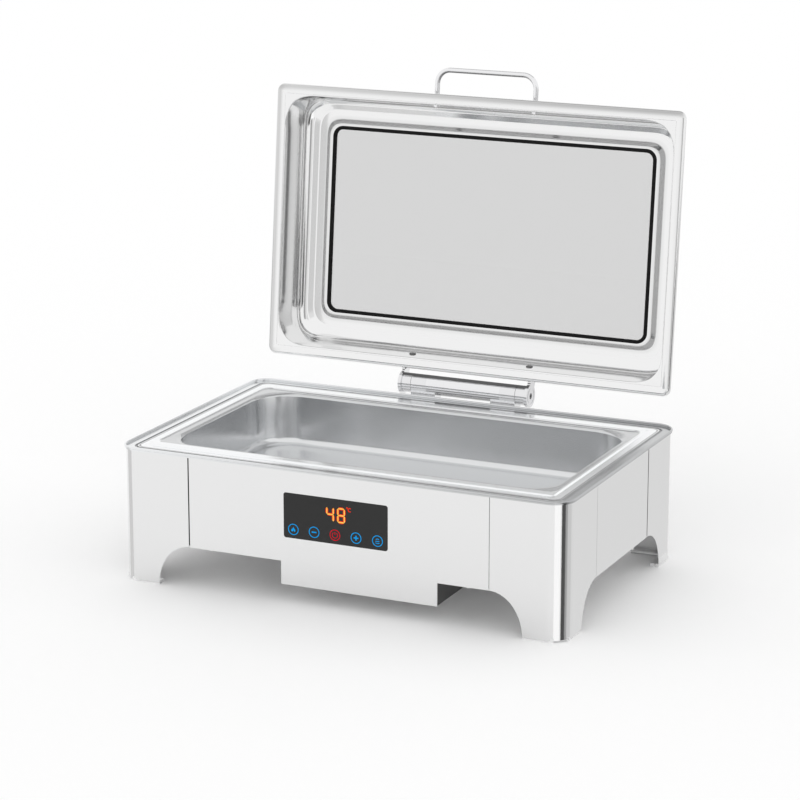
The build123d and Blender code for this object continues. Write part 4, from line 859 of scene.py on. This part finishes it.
lip_front, sheet_behind = seat_depth - 1.2, seat_depth + sheet
pane_front, pane_behind = seat_depth + 0.4, seat_depth + 4.4
gasket_behind = pane_behind + 1.2
gasket_outline = [
    [0.7, seat_depth], [0.7, lip_front + 0.5], [0.3, lip_front], [-3.5, lip_front],
    [-3.9, lip_front + 0.5], [-3.9, pane_front], [-1.2, pane_front], [-1.2, pane_behind],
    [-3.2, pane_behind], [-3.2, gasket_behind], [3.4, gasket_behind],
    [3.4, sheet_behind], [0.0, sheet_behind], [0.0, seat_depth],
]
corner_gap = 0.08
gasket_section = crisp(gasket_outline, corner_gap)
gasket_points = on_lid(lid_rings(gasket_section, hole_half, hole_corner + gasket_section[:, 0]))
gasket = add_object("window_gasket_drawn", net_mesh("window_gasket_drawn", gasket_points, True, True))
gasket.data.materials.append(black_rubber_and_seam_shade)
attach(gasket, "lid")
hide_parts("window_gasket")
print("gasket", len(gasket.data.polygons), "faces")

# %% [markdown]
# ## The food pan's section
# The pan is pressed from one sheet too. Its flat edge rests on the ledge, and just inside
# the closed lid's mouth the sheet rises to a low border, which keeps drips in and makes
# the edge stiff. Behind the border lies a narrow flat land, and from there a soft bend
# leads down a leaning wall into the well. The edge, the seat and the floor are read from
# the construction pan, and the rest is drawn from them. The wall's lower end follows from
# its lean.

# %% Section of the food pan, in millimetres
pan_low, pan_high = (corner * 1000 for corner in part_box("food_pan"))
pan_half = (pan_high[0], pan_high[1])
floor_level = pan_low[2] + sheet
land, border, inner_land = pan_high[2], pan_high[2] + 2.0, pan_high[2] + 0.4
well_edge, mouth_round, floor_round = -27.0, 4.0, 9.0
wall_lean = math.radians(2)
wall_low = well_edge - (land - mouth_round - floor_level - floor_round) * math.tan(wall_lean)
floor_start = wall_low - floor_round
pan_above = np.concatenate(
    [
        [[-0.15, land - 0.12], [-0.4, land], [-1.0, land], [-1.4, land], [-2.4, land], [-2.8, land]],
        [[-3.8, land], [-4.2, land], [-8.0, land], [-12.0, land]],
        ramp((-12.2, land), (-14.9, border), 0.8, 1.2, 15),
        [[-15.2, border], [-15.8, border]],
        ramp((-16.0, border), (-18.6, inner_land), 1.2, 0.9, 13),
        [[-18.9, inner_land], [-21.0, inner_land], [-22.8, inner_land]],
        arc((well_edge + mouth_round, inner_land - mouth_round), mouth_round, 90, 180, 9),
        arc((floor_start, floor_level + floor_round), floor_round, 0, -90, 11),
        [[floor_start - 8.0, floor_level]],
    ]
)
print("pan section", len(pan_above), "points, floor at", round(floor_level, 1))

# %% [markdown]
# ## The food pan
# The section is carried round the pan as it was round the lid. Two things differ. The
# land is wider in front and behind than at the sides, so the rings slip inwards there by
# a shift that sets in at the border. And the pan has a floor, so its last ring has to be
# filled: a fan of triangles from the ring's middle closes it, above and below the sheet.


# %% Food pan
def closed_net(name, points):
    """A surface of closed rings, whose first and last ring are each filled by a fan of
    triangles round their middle. It is turned so that its faces look outward."""
    rows, columns = points.shape[:2]
    faces = net_faces(rows, columns, close_columns=True)
    around = np.append(np.arange(columns), 0)
    first_ring, last_ring = around, around + (rows - 1) * columns
    first_pole, last_pole = (np.full(columns, rows * columns + pole) for pole in (0, 1))
    first_fan = np.stack([first_pole, first_ring[1:], first_ring[:-1]], axis=-1)
    last_fan = np.stack([last_pole, last_ring[:-1], last_ring[1:]], axis=-1)
    fans = np.vstack([first_fan, last_fan])
    points = np.vstack([points.reshape(-1, 3), points[0].mean(axis=0), points[-1].mean(axis=0)])
    if signed_volume(points, faces) < 0:
        faces, fans = faces[:, ::-1], fans[:, ::-1]
    return mesh_from(name, points, faces.tolist() + fans.tolist())


def pan_rings(section):
    """Rings of the pan: each is a rounded rectangle at its section point's outset and
    height, narrower from front to rear by the well's shift."""
    rings = rounded_rings(
        pan_half[0] + section[:, 0], pan_half[1] + section[:, 0] - well_shift, pan_corner, arc_steps=24
    )
    height = np.repeat(section[:, 1][:, None, None], rings.shape[1], axis=1)
    return np.concatenate([rings, height], axis=-1) / 1000


inset = -pan_above[:, 0]
pan_corner = np.interp(inset, [0.0, 12.0, 16.0, 19.0, 27.0, 44.0], [10.0, 7.5, 8.0, 16.0, 46.0, 36.0])
well_shift = np.interp(inset, [15.2, 15.8], [0.0, 8.5])
pan_stack = np.concatenate([pan_rings(pan_above)[::-1], pan_rings(shifted(pan_above, sheet))])
food_pan = add_object("food_pan_drawn", closed_net("food_pan_drawn", pan_stack))
food_pan.data.materials.append(pan_steel)
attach(food_pan, "pan")
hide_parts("food_pan")
pan_size = 1000 * np.ptp(pan_stack.reshape(-1, 3), axis=0)
print("food pan", len(food_pan.data.polygons), "faces,", pan_size.round(2), "mm")

# %% [markdown]
# ## Painted shade on the pan
# The pan's edge lies in the shadow of the rim: a line along it and a groove beside it get
# painted shade, darker than the flats between them. The land and the well are darker
# than the raised border. The same painted shade value does it, as a table of insets from
# the pan's edge.

# %% Painted shade of the pan
shade_insets = [0.0, 1.0, 1.4, 2.4, 2.8, 3.8, 4.2, 16.6, 18.0, 26.0, 28.0]
shade_shares = [0.15, 0.15, 0.9, 0.9, 0.3, 0.3, 1.0, 1.0, 0.66, 0.66, 0.80]
painted_shade = np.ones(pan_stack.shape[:2])
painted_shade[:len(pan_above)] = np.interp(inset, shade_insets, shade_shares)[::-1, None]
above_pole, below_pole = 0.8, 1.0
keep_painted_shade(food_pan, np.append(painted_shade.ravel(), [above_pole, below_pole]))
print("lowest polish on the pan", painted_shade.min().round(2))

# %% [markdown]
# ## The hems under the feet
# A bare sheet edge would scratch the table, so each foot's lower edge is folded inward
# and pressed flat on itself. The fold's section is a bar with a round inner end, and the
# hem is that section carried along the straight part of the foot. Bevelling a box would
# round its outer end too, which on the real foot is the flat of the leg.


# %% Foot hems
def folded_section(width, height, steps=11):
    """Outline of a flat fold, as two sides that start at the foot: the lower one runs
    out along the floor and up round half of the round end, the upper one likewise. They
    end a thousandth of a millimetre apart, so that no two points fall on one spot."""
    radius = height / 2
    lower = arc((width - radius, radius), radius, -90, 0, steps)
    upper = arc((width - radius, radius), radius, 90, 0, steps)
    return np.vstack([[[0.0, 0.0]], lower]), np.vstack([[[0.0, height]], upper - [0.0, 1e-3]])


def hem(name, start, end, inward):
    """The folded section carried along a straight line from start to end: its width
    points inward and its height up. The two sides and two ends close it."""
    lower, upper = hem_sides
    outline = np.concatenate([lower, upper[::-1]])
    across = outline[:, :1] * np.array([*inward, 0.0]) + outline[:, 1:] * np.array([0.0, 0.0, 1.0])
    points = np.stack([across + start, across + end]) / 1000
    count = len(outline)
    rung = np.arange(len(lower) - 1)
    cap = np.stack([rung, rung + 1, count - 2 - rung, count - 1 - rung], axis=-1)
    faces = np.concatenate([net_faces(2, count, close_columns=True), cap[:, ::-1], cap + count])
    if signed_volume(points, faces) < 0:
        faces = faces[:, ::-1]
    thing = add_object(name, mesh_from(name, points, faces.tolist(), smooth=False))
    thing.data.materials.append(lit_hem_steel)
    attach(thing, "stand")


# The hem is the legs' own sheet, painted paler than their steel as painted light that lifts it out of
# the shade under the foot.
lit_hem_steel = steel("lit_hem_steel", (0.92, 0.92, 0.92), 0.42, 0.1, (200, 200, 200))
hem_sides = folded_section(11.0, 4.2)
leg_low, leg_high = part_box("corner_leg_front_right")
stand_half = (round(leg_high[0] * 1000, 1), round(-leg_low[1] * 1000, 1))
inside_face, above_table = 0.9, 0.05
hem_from, hem_to = 51.4, 14.0
corners = [("front_left", -1, -1), ("front_right", 1, -1), ("rear_left", -1, 1), ("rear_right", 1, 1)]
for corner_name, sign_x, sign_y in corners:
    edge_x, edge_y = sign_x * stand_half[0], sign_y * stand_half[1]
    wall_x, wall_y = edge_x - sign_x * inside_face, edge_y - sign_y * inside_face
    hem(
        "hem_along_" + corner_name,
        np.array([edge_x - sign_x * hem_from, wall_y, above_table]),
        np.array([edge_x - sign_x * hem_to, wall_y, above_table]),
        (0.0, -sign_y),
    )
    hem(
        "hem_across_" + corner_name,
        np.array([wall_x, edge_y - sign_y * hem_from, above_table]),
        np.array([wall_x, edge_y - sign_y * hem_to, above_table]),
        (-sign_x, 0.0),
    )
print("hems", 2 * len(corners))

# %% [markdown]
# ## The lit marks
# Behind the touch glass sit a two-figure display and five round touch marks. On the real
# panel they are light that comes through clear windows in a dark print. A picture on the
# glass would do, but it blurs close by, so here they are very thin plates on the glass
# with a glow of their own. Every mark is a stroke: a path with a width at each of its
# points, given a hair of thickness.


# %% Strokes
def stroke(path, width, face, closed=False):
    """A thin bar along a path of across and up values, in millimetres: at each point its
    two sides lie half a width to the left and right of the run, on a front and a back
    plane. An open bar gets two end faces. Returns its points and its faces."""
    path = np.asarray(path, dtype=float)
    if closed:
        run = np.roll(path, -1, axis=0) - np.roll(path, 1, axis=0)
    else:
        run = np.gradient(path, axis=0)
    run /= np.linalg.norm(run, axis=1, keepdims=True)
    side = np.stack([-run[:, 1], run[:, 0]], axis=-1) * np.broadcast_to(width, len(path))[:, None] / 2
    left, right = path + side, path - side
    front, back = face, face + mark_thickness
    lines = [
        np.stack([edge[:, 0], np.full(len(path), plane), edge[:, 1]], axis=-1)
        for edge, plane in [(left, front), (right, front), (right, back), (left, back)]
    ]
    points = np.stack(lines, axis=1)
    faces = net_faces(len(path), 4, closed, True)
    if not closed:
        last = 4 * len(path) - 4
        faces = np.vstack([faces, [3, 2, 1, 0], np.arange(last, last + 4)])
    return points.reshape(-1, 3), faces


def ring(centre, radius, width, face, steps=48):
    """A closed round stroke."""
    turn = np.linspace(0, 2 * np.pi, steps, endpoint=False)
    path = np.stack([centre[0] + radius * np.cos(turn), centre[1] + radius * np.sin(turn)], axis=-1)
    return stroke(path, width, face, True)


def part_ring(centre, radius, width, start, end, face, steps=24):
    """An open round stroke from one angle to another, in degrees."""
    return stroke(arc(centre, radius, start, end, steps), width, face)


mark_thickness = 0.05
glass_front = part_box("control_glass")[0][1] * 1000
halo_face = glass_front - 2 * mark_thickness
core_face = glass_front - 3 * mark_thickness
print("front of the glass", round(glass_front, 3))

# %% [markdown]
# ## Light through a print
# A lamp behind a print is not one flat colour, because the print's thickness wanders. The
# glow's colour runs between two near tones after a fine noise. A real lamp behind real
# holes would need far more rays for the same look.


# %% Lit print
def lit(name, first, second):
    """A glow whose colour wanders between two near tones."""
    material, tree, output = new_material(name)
    noise = fine_noise(tree, piece_place(tree).outputs["Object"], scale=700.0, detail=2.0)
    ramp_node = tree.nodes.new("ShaderNodeValToRGB")
    lower, upper = ramp_node.color_ramp.elements
    lower.position, upper.position = 0.35, 0.65
    lower.color, upper.color = (*first, 1), (*second, 1)
    glow = tree.nodes.new("ShaderNodeEmission")
    glow.inputs["Strength"].default_value = 1.0
    tree.links.new(noise.outputs["Fac"], ramp_node.inputs["Fac"])
    tree.links.new(ramp_node.outputs["Color"], glow.inputs["Color"])
    tree.links.new(glow.outputs["Emission"], output.inputs["Surface"])
    return material


def mark_object(name, strokes, material):
    """One object from many strokes: their points in one list and their faces shifted to
    match."""
    stroke_points, stroke_faces = zip(*strokes)
    counts = np.cumsum([0] + [len(part) for part in stroke_points])
    points = np.concatenate(stroke_points) / 1000
    faces = np.concatenate([part + shift for part, shift in zip(stroke_faces, counts)])
    thing = add_object(name, mesh_from(name, points, faces.tolist(), smooth=False))
    thing.data.materials.append(material)
    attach(thing, "stand")
    print(name, len(faces), "faces")


red_glow = lit("red_glow", (0.92, 0.020, 0.006), (1.0, 0.050, 0.010))
amber_glow = lit("amber_glow", (1.0, 0.48, 0.06), (1.0, 0.72, 0.18))
blue_glow = lit("blue_glow", (0.006, 0.30, 0.74), (0.010, 0.38, 0.88))
mark_red = lit("mark_red", (0.56, 0.003, 0.016), (0.70, 0.007, 0.026))
print("materials so far", len(bpy.data.materials))

# %% [markdown]
# ## The figures
# A display figure is built of seven bars between six corners, and each figure lights some
# of them. So the bars are named once, and a figure is only a list of names. Each bar is
# drawn twice: a wide red one for the glow round it and a narrow amber one in front.


# %% Figures
def bar(start, end, width):
    """A straight stroke with pointed ends, as the bars of a display figure have."""
    length = np.linalg.norm(end - start)
    stations = np.array([0.0, width / 2, length - width / 2, length]) / length
    return start + (end - start) * stations[:, None], np.array([tip_share, 1, 1, tip_share]) * width


def figure_bars(width, face):
    """The lit bars of both figures: each bar joins two of the six corners of its
    figure and stops a little short of them."""
    strokes = []
    for place, names in enumerate(figures):
        corner = np.array([figure_left + place * figure_step, figure_low])
        for name in names:
            start, end = np.array(bar_ends[name]) * [figure_width, figure_height / 2] + corner
            gap = (end - start) / np.linalg.norm(end - start) * bar_gap
            path, widths = bar(start + gap, end - gap, width)
            strokes.append(stroke(path, widths, face))
    return strokes


figure_left, figure_low = -10.6, 108.0
figure_width, figure_height, figure_step = 8.2, 16.4, 14.1
bar_gap, tip_share = 0.25, 0.15
bar_ends = {
    "top": ((0, 2), (1, 2)), "middle": ((0, 1), (1, 1)), "bottom": ((0, 0), (1, 0)),
    "upper_left": ((0, 1), (0, 2)), "upper_right": ((1, 1), (1, 2)),
    "lower_left": ((0, 0), (0, 1)), "lower_right": ((1, 0), (1, 1)),
}
figures = [["upper_left", "middle", "upper_right", "lower_right"], list(bar_ends)]
halo_width, core_width = 3.3, 1.5
degree_place, degree_radius, degree_width = (15.2, 126.2), 0.85, 0.6
letter_place, letter_radius, letter_width = (18.6, 124.2), 2.0, 0.95
degree_strokes = [
    ring(degree_place, degree_radius, degree_width, halo_face, 20),
    part_ring(letter_place, letter_radius, letter_width, 50, 310, halo_face),
]
mark_object("figure_halo", figure_bars(halo_width, halo_face) + degree_strokes, red_glow)
mark_object("figure_bars", figure_bars(core_width, core_face), amber_glow)

# %% [markdown]
# ## The touch marks
# Five round marks stand in a row: heat, a minus, the power switch, a plus and steam.
# Each is a ring round a small sign, and all signs are strokes too. The sign for heat is
# three upright strokes whose widths swell like a drop: half a wave, its fullest spot
# moved down by a power. Steam is three lines, the upper one bent up, the lower one down.

# %% Touch marks
mark_row = 91.8
heat, less, power, more, steam = ((across, mark_row) for across in (-54.0, -27.2, -0.4, 26.5, 53.7))
ring_radius, ring_width = 6.3, 0.92
sign_reach, sign_width, steam_width = 3.0, 1.5, 0.85
power_radius, power_width = 3.4, 0.8
switch_low, switch_high, switch_width = 0.4, 3.9, 0.9
blue_strokes = [ring(place, ring_radius, ring_width, halo_face) for place in (heat, less, more, steam)]
drop_width = 2.3 * np.sin(np.pi * np.linspace(0.02, 0.98, 11) ** 1.6) + 0.15
for across, low, high in [(-1.5, -2.6, 1.2), (0.0, -1.2, 3.0), (1.5, -2.6, 1.2)]:
    path = np.linspace([heat[0] + across, heat[1] + high], [heat[0] + across, heat[1] + low], 11)
    blue_strokes.append(stroke(path, drop_width, core_face + 0.01 * across))
for place in (less, more):
    level_line = [(place[0] - sign_reach, place[1]), (place[0] + sign_reach, place[1])]
    blue_strokes.append(stroke(level_line, sign_width, halo_face))
upright_line = [(more[0], more[1] - sign_reach), (more[0], more[1] + sign_reach)]
blue_strokes.append(stroke(upright_line, sign_width, core_face))
share = np.linspace(0, 1, 17)
for level, swing, span in [(1.5, 1.1, 4.0), (-0.4, 0.0, 5.0), (-2.2, -0.7, 5.0)]:
    height = steam[1] + level + swing * np.sin(np.pi * share)
    path = np.stack([steam[0] + span * (share - 0.5), height], axis=-1)
    blue_strokes.append(stroke(path, steam_width, halo_face))
switch_line = [(power[0], power[1] + switch_low), (power[0], power[1] + switch_high)]
red_strokes = [
    ring(power, ring_radius, ring_width, halo_face),
    part_ring(power, power_radius, power_width, 125, 415, halo_face),
    stroke(switch_line, switch_width, halo_face),
]
mark_object("blue_marks", blue_strokes, blue_glow)
mark_object("red_mark", red_strokes, mark_red)
